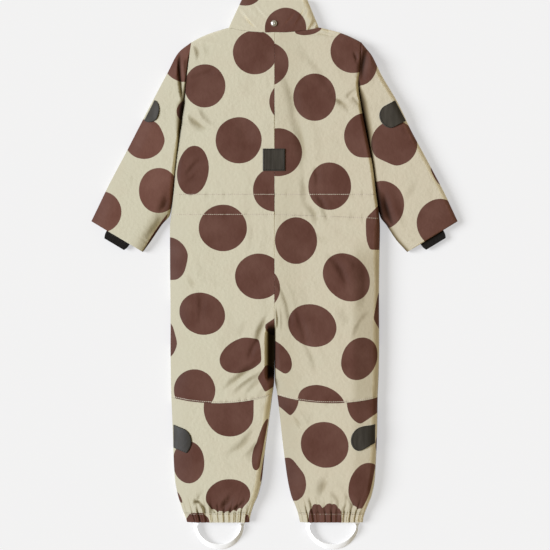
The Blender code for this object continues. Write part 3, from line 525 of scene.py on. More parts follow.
# Width of the painted shade beside the body on each sleeve's upper side, at levels of y.
Shade = namedtuple("Shade", "y width depth")
ARMHOLE_SHADES = {
    "left": [
        Shade(84.0, 6.0, 0.0),
        Shade(104.0, 8.0, 0.6),
        Shade(140.0, 6.0, 0.6),
        Shade(170.0, 3.0, 0.6),
        Shade(236.0, 3.6, 0.85),
        Shade(262.0, 8.5, 0.98),
        Shade(300.0, 12.5, 0.98),
        Shade(320.0, 5.0, 0.9),
        Shade(384.0, 3.0, 0.75),
        Shade(400.0, 3.0, 0.0),
    ],
    "right": [
        Shade(84.0, 8.0, 0.0),
        Shade(100.0, 17.0, 0.7),
        Shade(138.0, 13.0, 0.75),
        Shade(164.0, 5.0, 0.7),
        Shade(186.0, 4.5, 0.75),
        Shade(226.0, 6.5, 0.9),
        Shade(256.0, 12.5, 0.97),
        Shade(304.0, 13.0, 0.97),
        Shade(322.0, 10.0, 0.92),
        Shade(340.0, 4.0, 0.7),
        Shade(352.0, 3.0, 0.0),
    ],
}

# Painted shade on the right half: beside the centre, beside the hip and thigh, and below the knee.
CENTRE_SHADE = 0.07
HIP_SHADE = 0.23
SHIN_SHADE = 0.13
# The painted shade along the seam under the left arm, from the elbow down.
SEAM_SHADE = 0.5
SEAM_SHADE_WIDTH = 15.0

STITCH_LENGTH = 3.2
STITCH_PITCH = 3.7
STITCH_WIDTH = 1.2
STITCH_HEIGHT = 0.5
STITCH_LIFT = 0.1
# Places along a stitch, as shares of its length, with the girth there.
STITCH_FORM = ((-0.5, 0.3), (-0.34, 1.0), (0.34, 1.0), (0.5, 0.3))
STITCH_SIDES = 6


# ---- curves, noise and folds ----


def smooth_curve(keys, values, at):
    """A smooth curve through a short table, which never swings past its rows."""
    keys = np.asarray(keys, float)
    values = np.asarray(values, float)
    rates = np.diff(values) / np.diff(keys)
    turns = rates[:-1] * rates[1:] > 0
    total = np.where(turns, rates[:-1] + rates[1:], 1.0)
    middle = np.where(turns, 2 * rates[:-1] * rates[1:] / total, 0.0)
    slopes = np.concatenate([rates[:1], middle, rates[-1:]])
    at = np.clip(at, keys[0], keys[-1])
    slot = np.clip(np.searchsorted(keys, at, side="left") - 1, 0, len(keys) - 2)
    step = keys[slot + 1] - keys[slot]
    t = (at - keys[slot]) / step
    start = (1 + 2 * t) * (1 - t) ** 2 * values[slot] + t * (1 - t) ** 2 * step * slopes[slot]
    end = t * t * (3 - 2 * t) * values[slot + 1] + t * t * (t - 1) * step * slopes[slot + 1]
    return start + end


def column(table, name, at):
    return smooth_curve([row[0] for row in table], [getattr(row, name) for row in table], at)


def smoothstep(t):
    t = np.clip(t, 0.0, 1.0)
    return t * t * (3 - 2 * t)


def bell(distance, width):
    """1 at no distance, fading smoothly to 0 past about twice the width."""
    return np.exp(-((distance / width) ** 2))


def blend(first, second, share):
    return first + (second - first) * share


def window(value, low, high, soft):
    """1 between low and high, fading to 0 over soft."""
    return smoothstep((value - low) / soft) * smoothstep((high - value) / soft)


def rounded(distance, radius, lift):
    """Share of the full height at a distance from an edge: a quarter circle over lift."""
    gone = np.clip(1 - np.maximum(distance, 0.0) / radius, 0.0, 1.0)
    return blend(lift, 1.0, np.sqrt(1 - gone**2))


def rolled(distance, radius, lift):
    """The same for a soft side, which slopes evenly to its edge."""
    gone = np.clip(1 - np.maximum(distance, 0.0) / radius, 0.0, 1.0)
    return blend(lift, 1.0, 1 - gone**ROLL_POWER)


def side_roll(faces, distance, radius, lift):
    """The padding fills the sides that face right further out than those that face left."""
    if faces == "right":
        return rounded(distance, FULL_SHARE * radius, lift)
    return rolled(distance, radius, lift)


def soft_noise(x, y, cell, seed):
    """Smooth noise between -1 and 1 with hills of about this size."""
    size = 64
    lattice = np.random.default_rng(seed).uniform(-1.0, 1.0, (size, size))
    u, v = np.broadcast_arrays(np.asarray(x, float) / cell, np.asarray(y, float) / cell)
    i = np.floor(u).astype(int)
    j = np.floor(v).astype(int)
    s = smoothstep(u - i)
    t = smoothstep(v - j)
    low, high = (
        blend(lattice[i % size, row % size], lattice[(i + 1) % size, row % size], s) for row in (j, j + 1)
    )
    return blend(low, high, t)


def crease_relief(creases, x, y):
    """Height of the folds: each tapers to its ends and has a low ridge along one side."""
    relief = np.zeros(np.broadcast(x, y).shape)
    for crease in (Crease(*row) for row in creases):
        run_x = crease.x1 - crease.x0
        run_y = crease.y1 - crease.y0
        length = math.hypot(run_x, run_y)
        along = ((x - crease.x0) * run_x + (y - crease.y0) * run_y) / length**2
        aside = ((y - crease.y0) * run_x - (x - crease.x0) * run_y) / length
        inside = np.clip(along, 0.0, 1.0)
        aside = aside - crease.bend * 4 * inside * (1 - inside)
        past = (along - inside) * length
        taper = blend(0.25, 1.0, np.sin(np.pi * inside) ** 0.7) * bell(past, 1.5 * crease.width)
        trough = bell(aside, crease.width)
        ridge = 0.35 * bell(aside - 2.1 * crease.width, 1.3 * crease.width)
        relief -= FOLD_DEPTH * crease.drop * taper * (trough - ridge)
    return relief


def fold_shade(x, y):
    """Painted shade in deep folds."""
    return 0.8 * smoothstep((-crease_relief(CREASES, x, y) - 1.2) / 4.0)


def under_folds(x, y, unevenness, cell, seed):
    """How far the underside is lifted off the floor by its folds and its unevenness."""
    pressed = np.maximum(0.0, -crease_relief(UNDER_CREASES, x, y))
    return pressed + unevenness * (1 + soft_noise(x, y, cell, seed))


def right_shade(x, level):
    """The right half gets painted shade beside the centre and, from the hip down, along its side."""
    beside = CENTRE_SHADE * bell(x - 22.0, 26.0)
    depth = blend(HIP_SHADE, SHIN_SHADE, smoothstep((KNEE_SEAM + 22.0 - level) / 60.0))
    side = depth * smoothstep((x - 134.0) / 18.0) * window(level, LEG_HEM - 2.4, 75.0, 60.0)
    return np.maximum(beside, side)


def undulation(x, y, seed):
    """The low unevenness of padded cloth that nothing pulls on."""
    relief = 0.55 * soft_noise(x, 0.6 * y, 34.0, seed)
    relief += 0.22 * soft_noise(x + 0.4 * y, y, 15.0, seed + 1)
    relief += 0.07 * soft_noise(x - 0.3 * y, y, 6.0, seed + 2)
    return relief


def puckers(along, away, seed):
    """Small wrinkles across a seam, fading away from it."""
    wrinkle = soft_noise(along, 0.15 * away, 5.5, seed)
    wrinkle = wrinkle + 0.5 * soft_noise(along, 0.1 * away, 2.8, seed + 1)
    return 0.42 * wrinkle * bell(away, 7.5) - 0.55 * bell(away, 1.5)


# ---- heights of the body, sleeves and collar ----


Layers = namedtuple("Layers", "top under_back over_front bottom")


def layers(crown, full, full_under, slot):
    """Heights of the two cloth layers where they are full (1) or come to an edge (0)."""
    seam = SEAM_SHARE * crown
    top_edge = seam + EDGE_CLOTH
    top = blend(top_edge, crown, full)
    middle = blend(seam, crown / 2, full)
    bottom = (seam - EDGE_CLOTH) * (1 - full_under)
    return Layers(top, middle + slot / 2, middle - slot / 2, bottom)


def slot_height(widest, full):
    return blend(SEAM_GAP, widest, full)


def neck_curve(side, share):
    """Lift of the top row from the centre back to the shoulder's end: 1 at the neck point."""
    turn = share / NECK_SHARE[side]
    rise = np.interp(turn, NECK_KNOTS, [knot**1.6 for knot in NECK_KNOTS])
    along = np.clip((share - NECK_SHARE[side]) / (1 - NECK_SHARE[side]), 0.0, 1.0)
    return np.where(turn < 1, rise, (1 - along) * (1 + SHOULDER_BOW[side] * 4 * along))


def body_plan(side, level, share):
    start = column(BODY, "inner_" + side, level)
    end = column(BODY, "side_" + side, level)
    lift = column(BODY, "rise", level) * (1 - share)
    lift = lift + column(BODY, "peak", level) * neck_curve(side, share)
    lift = lift + column(BODY, "bow", level) * 4 * share * (1 - share)
    return blend(start, end, share), level + lift


def waist_lines(side, share):
    """Levels of the waist casing's two stitch lines."""
    return WAIST_HIGH, WAIST_LOW - (WAIST_DROP * share if side == "right" else 0.0)


def body_layers(side, level, share):
    """Plan place and layer heights of the body at row levels and shares from the centre."""
    x, y = body_plan(side, level, share)
    crown = column(BODY, "crown", level)
    width = np.abs(column(BODY, "side_" + side, level) - column(BODY, "inner_" + side, level))
    scale = crown / BODY_CROWN
    lift_side = column(BODY, "lift_" + side, level)
    lift_inner = column(BODY, "lift_inner", level)
    arm = smoothstep((level - ARM_LEVEL + 18.0) / 36.0)
    trench = window(level, TRENCH_LOW, TRENCH_HIGH, 22.0)
    leg = smoothstep((-lift_inner + 0.9) / 0.5)
    from_side = width * (1 - share)
    from_inner = width * share
    full = blend(
        side_roll(side, from_side, LEG_ROLL * scale, lift_side),
        rounded(from_side, ARM_ROLL[side] * scale, lift_side),
        arm,
    )
    inner_round = blend(blend(SEAM_ROUND, LEG_ROLL, leg), TRENCH_ROUND, trench)
    inner = blend(
        rounded(from_inner, inner_round * scale, lift_inner),
        side_roll(OTHER[side], from_inner, inner_round * scale, lift_inner),
        leg,
    )
    inner = blend(inner, rounded(from_inner, inner_round, 0.0), trench)
    full = full * inner
    if side == "left":
        full = full * (1 - trench * smoothstep((x - TRENCH_EDGE + 3.0) / 7.0))
    shoulder = JOINED * (1 - np.clip((share - NECK_SHARE[side]) / 0.12, 0.0, 1.0))
    full = full * rounded(SHOULDER - level, SHOULDER_ROUND, shoulder)
    full_under = rounded(from_side, UNDER_ROUND, lift_side)
    full_under = full_under * rounded(from_inner, UNDER_ROUND, lift_inner)
    full_under = full_under * rounded(SHOULDER - level, UNDER_ROUND, shoulder)
    leg_end = np.clip((LEG_SLOT_START - level) / 20.0, 0.0, 1.0)
    slot = slot_height(blend(SLOT, LEG_SLOT, leg_end), full)
    full = full * (1 - 0.12 * bell(level - KNEE_SEAM, 7.0))
    for line in waist_lines(side, share):
        full = full * (1 - 0.08 * bell(level - line, 7.0))
    return x, y, layers(crown, full, full_under, slot)


def pleats(level, share, seed):
    """Waves over the leg elastic: rounded puffs between narrow valleys, fading up the leg."""
    fade = np.clip(1 - np.maximum(level - CASING_TOP, 0.0) / GATHER_REACH, 0.0, 1.0) ** 1.4
    ends = np.minimum(1.0, np.minimum(8 * share, 8 * (1 - share)))
    lean = 0.004 * soft_noise(24 * share, level, 9.0, seed)
    place = share + 0.010 * np.sin(7 * share + seed) + 0.006 * np.sin(19 * share + 2) + lean
    puff = 2 * np.abs(np.cos(np.pi * GATHERS * place)) ** 0.7 - 1
    fine = 2 * np.abs(np.cos(np.pi * (2 * GATHERS + 3) * place + 0.6)) ** 0.8 - 1
    uneven = 1 + 0.3 * np.sin(9 * share + 1) + 0.25 * soft_noise(80 * share, 0 * level, 6.0, seed + 3)
    low = np.clip((CASING_TOP + 10.0 - level) / 10.0, 0.0, 1.0)
    return fade * ends * uneven * (1.25 * puff + 0.55 * low * fine)


def body_relief(side, x, y, level, share):
    """What the folds and seams add to the upper side."""
    seed = SEED[side]
    quiet = rounded(np.abs(x), 10.0, 0.35)
    relief = crease_relief(CREASES, x, y) + undulation(x, y, seed) * quiet
    for line in waist_lines(side, share):
        relief = relief + puckers(x, level - line, seed + 20)
    relief = relief + puckers(x, level - KNEE_SEAM - 2.2, seed + 21)
    joined = smoothstep((level - TRENCH_HIGH) / 12.0)
    relief = relief + SEAM_RIDGE * joined * bell(x + 2.0, 1.2)
    relief = relief + SEAM_FILL * joined * np.exp(-np.abs(x) / 2.5)
    relief = relief + pleats(level, share, seed)
    return relief - 0.8 * bell(level - CASING_TOP, 2.4)


def body_top(side, level, share):
    """The finished upper side of the body: plan place and height."""
    x, y, height = body_layers(side, level, share)
    x = x * (1 - SEAM_CLOSE * bell(x, 1.6))
    top = height.top + body_relief(side, x, y, level, share)
    top = np.maximum(top, height.under_back + THINNEST)
    return x, y, top, height


def beside_body(side, x, y):
    """Keeps a sleeve's point beside the body, tucked a little under its side below the seam."""
    joined = smoothstep((y - ARMHOLE_FOOT[side]) / 10.0)
    edge = np.abs(column(BODY, "side_" + side, y)) - SLEEVE_TUCK + (SLEEVE_TUCK + SEAM_GAP) * joined
    return np.where(y > SHOULDER, x, SIGN[side] * np.maximum(np.abs(x), edge))


def sleeve_cut(side, reach, share):
    """A sleeve's straight cross line: its plan place before the body pushes it, and its width."""
    cut = SLEEVES[side]
    fold = np.stack([column(cut, "fold_x", reach), column(cut, "fold_y", reach)])
    under = np.stack([column(cut, "under_x", reach), column(cut, "under_y", reach)])
    return blend(under, fold, share), fold, under, np.hypot(*(fold - under))


def sleeve_layers(side, reach, share):
    (x, y), _, _, width = sleeve_cut(side, reach, share)
    crown = column(SLEEVES[side], "crown", reach)
    beside = smoothstep((0.80 - reach) / 0.12)
    under_radius = blend(SLEEVE_ROUND, 15.0, beside)
    outer_full = side_roll(side, width * (1 - share), SLEEVE_ROUND + 4.0, 0.0)
    open_share = outer_full * rounded(width * share, under_radius, 0.0)
    full = rounded(reach * SLEEVE_LENGTH, SEAM_ROUND, JOINED)
    full = full * rounded((1 - reach) * SLEEVE_LENGTH, SLEEVE_ROUND, HEM_LIFT) * open_share
    full_under = rounded(width * share, UNDER_ROUND, 0.0) * rounded(width * (1 - share), UNDER_ROUND, 0.0)
    wrist = np.clip((reach - 0.75) / 0.25, 0.0, 1.0)
    slot = slot_height(blend(SLOT, CUFF_SLOT, wrist), open_share)
    return beside_body(side, x, y), y, layers(crown, full, full_under, slot)


def sleeve_top(side, reach, share):
    x, y, height = sleeve_layers(side, reach, share)
    seed = SEED[side] + 20
    relief = crease_relief(CREASES, x, y) + undulation(x, y, seed)
    relief = relief + 0.6 * puckers(y, reach * SLEEVE_LENGTH - 1.0, seed + 9)
    relief = relief + 0.5 * puckers(x + y, (1 - reach) * SLEEVE_LENGTH - 19.0, seed + 10)
    relief = relief * rounded(height.top - height.under_back, 6.0, 0.3)
    return x, y, np.maximum(height.top + relief, height.under_back + THINNEST), height


def collar_plan(turn, height):
    """The collar's plan place: turn -1 at the left side and 1 at the right, height 0 to 1."""
    share = np.abs(turn)
    places = []
    for side in SIDES:
        foot_x, foot_y = body_plan(side, SHOULDER, share * NECK_SHARE[side])
        head_x = COLLAR_HEAD[side] * share
        head_y = COLLAR_TOP - COLLAR_CORNER_DROP * share**4
        places.append((blend(foot_x, head_x, height), blend(foot_y + SEAM_GAP, head_y, height)))
    (left_x, left_y), (right_x, right_y) = places
    return np.where(turn < 0, left_x, right_x), np.where(turn < 0, left_y, right_y)


def collar_layers(turn, height):
    x, y = collar_plan(turn, height)
    crown = blend(COLLAR_CROWN_FOOT, COLLAR_CROWN_TOP, height)
    edge = COLLAR_HALF_WIDTH * (1 - np.abs(turn))
    full = rounded(edge, SLEEVE_ROUND, 0.0)
    full = full * rounded(height * COLLAR_RISE, SEAM_ROUND, JOINED)
    full = full * rounded((1 - height) * COLLAR_RISE, SEAM_ROUND, COLLAR_TOP_LIFT)
    full_under = rounded(edge, UNDER_ROUND, 0.0)
    full_under = full_under * rounded((1 - height) * COLLAR_RISE, SEAM_ROUND, COLLAR_TOP_LIFT)
    return x, y, layers(crown, full, full_under, slot_height(SLOT, full))


def collar_top(turn, height):
    x, y, level = collar_layers(turn, height)
    relief = crease_relief(CREASES, x, y) + 0.6 * undulation(x, y, 51)
    relief = relief + 0.7 * puckers(x, height * COLLAR_RISE - 0.5, 52)
    return x, y, np.maximum(level.top + relief, level.under_back + THINNEST), level


# ---- meshes ----


def spaced(count, dense):
    """Shares from 0 to 1 that lie closer together near both ends."""
    t = np.linspace(0.0, 1.0, count)
    return t - dense * np.sin(2 * np.pi * t) / (2 * np.pi)


def grid(*axes):
    """Points from arrays of x, y and z, or places on the flat cloth from x and y."""
    return np.stack(np.broadcast_arrays(*axes), axis=-1).astype(float)


def finish_mesh(name, points, faces, indices, materials, sharp=55):
    mesh = bpy.data.meshes.new(name)
    mesh.from_pydata((points * MM).tolist(), [], faces)
    shape = bmesh.new()
    shape.from_mesh(mesh)
    bmesh.ops.recalc_face_normals(shape, faces=shape.faces)
    shape.to_mesh(mesh)
    shape.free()
    for material in materials:
        mesh.materials.append(material)
    if indices is not None:
        mesh.polygons.foreach_set("material_index", np.asarray(indices, np.int32))
    mesh.shade_smooth()
    mesh.set_sharp_from_angle(angle=math.radians(sharp))
    piece = bpy.data.objects.new(name, mesh)
    bpy.context.scene.collection.objects.link(piece)
    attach(piece, "root")
    return piece


def quads(a, b, c, d):
    return np.stack([part.ravel() for part in np.broadcast_arrays(a, b, c, d)], axis=1)


def lit(surface):
    """Light on each point of an upper side against that on a level one: red, green, blue."""
    slope = math.radians(KEY_SLOPE)
    turn = math.radians(KEY_TURN)
    across = -math.cos(slope)
    lamp = np.array([across * math.cos(turn), across * math.sin(turn), math.sin(slope)])
    normal = np.cross(np.gradient(surface, axis=1), np.gradient(surface, axis=0))
    normal = normal * np.sign(normal[..., 2:]) / np.linalg.norm(normal, axis=-1, keepdims=True)
    key = KEY_SHARE * np.array(KEY)
    fill = (1 - KEY_SHARE) * np.array(FILL)
    facing = np.maximum(normal @ lamp, 0.0)[..., None] / lamp[2]
    return (fill + key * facing) / (fill + key)


def evened(outer, form, inner):
    """How much lighter or darker the cloth's colour is painted where it slopes to or from the lamp."""
    bright = np.maximum(lit(outer), 1.0) ** -EVEN_BRIGHT
    dark = np.minimum(np.maximum(lit(outer), lit(form)), 1.0) ** -EVEN_DARK
    upper = outer[..., 2:] > inner[..., 2:]
    return np.where(upper, np.clip(bright * dark, EVEN_LOW, EVEN_HIGH), 1.0)


def add_point_attribute(mesh, name, values):
    attribute = mesh.attributes.new(name, "FLOAT_VECTOR", "POINT")
    attribute.data.foreach_set("vector", values.ravel())


def add_wall(name, outer, inner, materials, cut=None, painted_shade=0.0, form=None, skin=None, ring=False):
    """A closed wall between two grids of points. skin gives each column's material on the
    outer side; the inner side takes the last material. form is the outer side without folds;
    hollow is the painted shade, 0 to 1, which goes into the attribute "tone"."""
    rows, columns = outer.shape[:2]
    points = np.concatenate([outer, inner[::-1]])
    here = np.arange(points.size // 3).reshape(2 * rows, columns)
    there = np.roll(here, -1, axis=1)
    if not ring:
        here, there = here[:, :-1], there[:, :-1]
    skin = np.zeros(columns, int) if skin is None else skin
    indices = np.tile(skin[: here.shape[1]], (2 * rows, 1))
    indices[rows:-1] = len(materials) - 1
    faces = [quads(here, there, np.roll(there, -1, axis=0), np.roll(here, -1, axis=0))]
    indices = [indices.ravel()]
    if not ring:
        for edge, column_skin in ((here[:, 0], skin[0]), (there[:, -1], skin[-1])):
            front, back = edge[:rows], edge[:rows - 1:-1]
            faces.append(quads(front[:-1], front[1:], back[1:], back[:-1]))
            indices.append(np.full(rows - 1, column_skin))
    faces = np.concatenate(faces).tolist()
    piece = finish_mesh(name, points.reshape(-1, 3), faces, np.concatenate(indices), materials)
    flat = np.zeros(outer.shape)
    flat[..., :2] = outer[..., :2] if cut is None else cut
    # Painted light and shade: toned against the slope to the lamp, darkened under painted shade.
    painted_shade = np.broadcast_to(painted_shade, (rows, columns))[..., None]
    shade = (1 - (1 - PAINTED_SHADE_TONE) * painted_shade) ** SHADE_POWERS
    tone = evened(outer, outer if form is None else form, inner) * shade
    add_point_attribute(piece.data, "cut", np.concatenate([flat, flat[::-1]]))
    add_point_attribute(piece.data, "tone", np.concatenate([tone, tone[::-1]]))
    return piece


def ring_faces(start, rings, around):
    """Faces of stacked rings of points, with both ends closed."""
    faces = []
    for first in range(start, start + (rings - 1) * around, around):
        for k in range(around):
            a, b = first + k, first + (k + 1) % around
            faces.append((a, b, b + around, a + around))
    last = start + (rings - 1) * around
    return faces + [tuple(range(start + around - 1, start - 1, -1)), tuple(range(last, last + around))]


def dress(piece, node):
    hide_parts(node)
    return piece


def add_cloth(node, kind, outer, inner, materials, slot="padded_cloth", **looks):
    return dress(add_wall(f"{node}_{kind}", outer, inner, materials, **looks), node)


# ---- materials ----


class Nodes:
    """A short way to wire a material's nodes."""

    def __init__(self, name):
        self.material = bpy.data.materials.new(name)
        self.material.use_nodes = True
        self.tree = self.material.node_tree
        self.shader = self.tree.nodes["Principled BSDF"]

    def add(self, kind, inputs=(), **settings):
        node = self.tree.nodes.new("ShaderNode" + kind)
        for key, value in settings.items():
            setattr(node, key, value)
        for key, value in dict(inputs).items():
            self.put(node, key, value)
        return node

    def put(self, node, key, value):
        if isinstance(value, bpy.types.NodeSocket):
            self.tree.links.new(value, node.inputs[key])
        else:
            node.inputs[key].default_value = value

    def math(self, operation, *values):
        return self.add("Math", dict(enumerate(values)), operation=operation).outputs[0]

    def vector(self, operation, *values):
        node = self.add("VectorMath", dict(enumerate(values)), operation=operation)
        return node.outputs["Value" if operation in ("LENGTH", "DOT_PRODUCT") else 0]

    def mix(self, factor, first, second, blend="MIX"):
        node = self.add("Mix", data_type="RGBA", blend_type=blend)
        self.put(node, 0, factor)
        self.put(node, 6, first)
        self.put(node, 7, second)
        return node.outputs[2]

    def noise(self, vector, scale, detail=2.0, roughness=0.5, output="Fac"):
        inputs = {"Vector": vector, "Scale": scale, "Detail": detail, "Roughness": roughness}
        return self.add("TexNoise", inputs).outputs[output]

    def remap(self, value, low, high, to_low=0.0, to_high=1.0):
        inputs = {"Value": value, 1: low, 2: high, 3: to_low, 4: to_high}
        return self.add("MapRange", inputs).outputs[0]

    def grain(self, vector, scale, detail=1.0):
        """Noise with its own scale along each axis."""
        stretched = self.add("Mapping", {"Vector": vector, "Scale": scale}).outputs[0]
        return self.noise(stretched, 1.0, detail)

    def colour(self, factor, colour, low, high):
        """Sets a base colour that runs from low to high times this one."""
        self.set(Base_Color=self.mix(factor, rgba(colour, low), rgba(colour, high)))

    def rough(self, grain, low, high):
        self.set(Roughness=self.remap(grain, 0.3, 0.7, low, high))

    def bump(self, height, strength, distance, **base):
        inputs = {"Strength": strength, "Distance": distance, "Height": height, **base}
        return self.add("Bump", inputs).outputs[0]

    def set(self, **constants):
        for key, value in constants.items():
            self.put(self.shader, key.replace("_", " "), value)


def rgba(colour, factor=1.0):
    return tuple(factor * part for part in colour) + (1.0,)


def dot_mask(nodes, cut, dots):
    """0 on the cream ground and 1 in a dot, with a crisp printed edge."""
    wobble = nodes.noise(cut, 0.022, 1.0, output="Color")
    shift = nodes.vector("SUBTRACT", wobble, (0.5, 0.5, 0.5))
    shift = nodes.vector("MULTIPLY", shift, (DOT_WOBBLE, DOT_WOBBLE, 0.0))
    place = nodes.vector("ADD", cut, shift)
    nearest = None
    for dot in (Dot(*row) for row in dots):
        inputs = {
            "Vector": place,
            "Location": (dot.x, dot.y, 0.0),
            "Rotation": (0.0, 0.0, math.radians(dot.turn)),
            "Scale": (dot.half_x, dot.half_y, 1.0),
        }
        local = nodes.add("Mapping", inputs, vector_type="TEXTURE").outputs[0]
        away = nodes.vector("LENGTH", local)
        for x, y, faces in dot.trims:
            angle = math.radians(faces)
            face = (math.cos(angle) / TRIM_SCALE, math.sin(angle) / TRIM_SCALE, 0.0)
            beyond = nodes.vector("DOT_PRODUCT", place, face)
            beyond = nodes.math("ADD", beyond, 1.0 - x * face[0] - y * face[1])
            away = nodes.math("SMOOTH_MAX", away, beyond, TRIM_ROUND)
        nearest = away if nearest is None else nodes.math("MINIMUM", nearest, away)
    return nodes.remap(nearest, 0.994, 1.006, 1.0, 0.0)


def printed_cloth(name, dots, brown_gain=1.0):
    """Coated polyester: cream with brown dots, a fine weave and a soft sheen."""
    nodes = Nodes(name)
    cut = nodes.add("Attribute", attribute_name="cut").outputs["Vector"]
    # The attribute "tone" holds the painted light and shade that the colour is multiplied by.
    shaded = nodes.add("Attribute", attribute_name="tone").outputs["Color"]
    patchy = nodes.noise(cut, 0.030, 2.0)
    across = nodes.add("SeparateXYZ", {0: cut}).outputs[0]
    # Painted shade: darker, warmer cream to the right, away from the lamp, plus a random mottle.
    side_shade_and_mottle = nodes.remap(across, -170.0, 170.0)
    side_shade_and_mottle = nodes.math("ADD", side_shade_and_mottle, nodes.remap(patchy, 0.3, 0.7, -0.2, 0.2))
    cream = nodes.mix(side_shade_and_mottle, rgba(CREAM_LAMP_SIDE), rgba(CREAM_SHADED_SIDE))
    faded = nodes.remap(nodes.noise(cut, 0.02, 3.0), 0.35, 0.68)
    brown = nodes.mix(faded, rgba(BROWN, brown_gain), rgba(BROWN_LIGHT, brown_gain))
    base = nodes.mix(dot_mask(nodes, cut, dots), cream, brown)
    yarn_across = nodes.grain(cut, (0.35, 2.6, 1.0))
    yarn_along = nodes.grain(cut, (2.6, 0.35, 1.0))
    weave = nodes.math("ADD", yarn_across, yarn_along)
    tone = nodes.remap(weave, 0.7, 1.3, 0.965, 1.035)
    tone = nodes.add("CombineColor", {0: tone, 1: tone, 2: tone}).outputs[0]
    woven = nodes.mix(1.0, base, tone, "MULTIPLY")
    nodes.set(Base_Color=nodes.mix(1.0, woven, shaded, "MULTIPLY"))
    nodes.rough(patchy, 0.60, 0.72)
    crinkle = nodes.noise(cut, 0.16, 3.0, 0.55)
    fine = nodes.bump(weave, 0.5, 0.00010)
    nodes.set(Normal=nodes.bump(crinkle, 0.8, 0.0006, Normal=fine))
    nodes.set(Specular_IOR_Level=0.09, Sheen_Weight=0.02, Sheen_Roughness=0.45)
    return nodes.material


def plain_cloth(name, colour, roughness, pitch, relief):
    """A plain woven cloth or tape."""
    nodes = Nodes(name)
    place = nodes.add("TexCoord").outputs["Object"]
    across = nodes.grain(place, (pitch, 7 * pitch, pitch))
    along = nodes.grain(place, (7 * pitch, pitch, pitch))
    weave = nodes.math("ADD", across, along)
    nodes.colour(nodes.remap(weave, 0.75, 1.25), colour, 0.86, 1.1)
    nodes.set(Roughness=nodes.remap(weave, 0.6, 1.4, roughness - 0.06, roughness + 0.06))
    nodes.set(Normal=nodes.bump(weave, 0.6, relief), Specular_IOR_Level=0.3)
    return nodes.material


def reflector_film(place_name):
    """Dark grey reflecting film: a fine bead texture under a dull gloss, in faint bands."""
    nodes = Nodes("reflector_film_" + place_name)
    place = nodes.add("TexCoord").outputs["Object"]
    beads = nodes.add("TexVoronoi", {"Vector": place, "Scale": 1400.0}).outputs["Distance"]
    cloud = nodes.grain(place, (170.0, 22.0, 22.0), 2.0)
    # Painted light and shade: each patch lighter or darker against how the lamp falls on it.
    painted_light = FILM_PAINTED_LIGHT[place_name]
    nodes.colour(nodes.remap(cloud, 0.3, 0.7), FILM, 0.8 * painted_light, 1.2 * painted_light)
    nodes.rough(cloud, 0.42, 0.54)
    nodes.set(Normal=nodes.bump(beads, 0.35, 0.00012), Specular_IOR_Level=0.12)
    return nodes.material


def knit_material():
    nodes = Nodes("black_rib_knit")
    place = nodes.add("TexCoord").outputs["Object"]
    fuzz = nodes.noise(place, 1500.0, 2.0)
    loops = nodes.noise(place, 420.0, 1.0)
    nodes.colour(loops, KNIT, 0.7, 1.9)
    nodes.rough(fuzz, 0.82, 0.95)
    nodes.set(Normal=nodes.bump(nodes.math("ADD", fuzz, loops), 0.7, 0.0004))
    nodes.set(Specular_IOR_Level=0.1, Sheen_Weight=0.05)
    return nodes.material


def mottled(name, colour, spread, scale, detail, rough=(), bump=(), **constants):
    """A material with one noise behind its colour, its roughness and its relief."""
    nodes = Nodes(name)
    cloud = nodes.grain(nodes.add("TexCoord").outputs["Object"], scale, detail)
    nodes.colour(cloud, colour, *spread)
    if rough:
        nodes.rough(cloud, *rough)
    if bump:
        nodes.set(Normal=nodes.bump(cloud, *bump))
    nodes.set(**constants)
    return nodes.material


def thread_material(name, colour):
    twist = (2600.0, 900.0, 900.0)
    return mottled(name, colour, (0.88, 1.1), twist, 1.0, (0.5, 0.62), (0.5, 0.0001))


def elastic_material():
    # Painted light: the strap glows faintly though it is no lamp.
    glow = {"Emission_Color": (1.0, 1.0, 1.0, 1.0), "Emission_Strength": STRAP_PAINTED_GLOW}
    looks = {"rough": (0.30, 0.42), "bump": (0.3, 0.0003), "Specular_IOR_Level": 0.4}
    return mottled("milky_elastic", STRAP, (0.97, 1.03), (90.0,) * 3, 3.0, **looks, **glow)


def metal_material():
    return mottled("dull_steel", STEEL, (0.9, 1.1), (900.0,) * 3, 3.0, (0.40, 0.52), Metallic=1.0)


def floor_material():
    glow = {"Emission_Color": rgba(FLOOR_GLOW), "Emission_Strength": 1.0}
    looks = {"Roughness": 0.9, "Specular_IOR_Level": 0.1}
    return mottled("pale_floor", FLOOR, (0.997, 1.003), (3.0,) * 3, 2.0, **looks, **glow)


# ---- sewing ----


def add_stitches(name, lines, material):
    """Joined small stitches along lines of points that lie on the cloth."""
    points = []
    faces = []
    around = [2 * math.pi * k / STITCH_SIDES for k in range(STITCH_SIDES)]
    for line in lines:
        steps = np.linalg.norm(np.diff(line, axis=0), axis=1)
        length = np.concatenate([[0.0], np.cumsum(steps)])
        count = max(1, int(length[-1] / STITCH_PITCH))
        for place in (np.arange(count) + 0.5) * length[-1] / count:
            ends = [place - STITCH_LENGTH / 2, place, place + STITCH_LENGTH / 2]
            back, centre, front = (
                np.array([np.interp(end, length, line[:, axis]) for axis in range(3)]) for end in ends
            )
            run = (front - back) / np.linalg.norm(front - back)
            side = np.cross((0.0, 0.0, 1.0), run)
            side /= np.linalg.norm(side)
            up = np.cross(run, side)
            faces += ring_faces(len(points), len(STITCH_FORM), STITCH_SIDES)
            for along, girth in STITCH_FORM:
                middle = centre + run * along * STITCH_LENGTH + up * STITCH_HEIGHT * 0.2 * girth
                for angle in around:
                    wide = side * math.cos(angle) * STITCH_WIDTH / 2 * girth
                    high = up * math.sin(angle) * STITCH_HEIGHT / 2 * girth
                    points.append(middle + wide + high)
    piece = finish_mesh(name, np.array(points), faces, None, [material], sharp=80)
    return piece


def body_line(side, level, shares, lift=0.25):
    """Points of a line across the body's upper side."""
    x, y, top, _ = body_top(side, np.broadcast_to(level, shares.shape), shares)
    return grid(x, y, top + lift)


# ---- cloth pieces ----


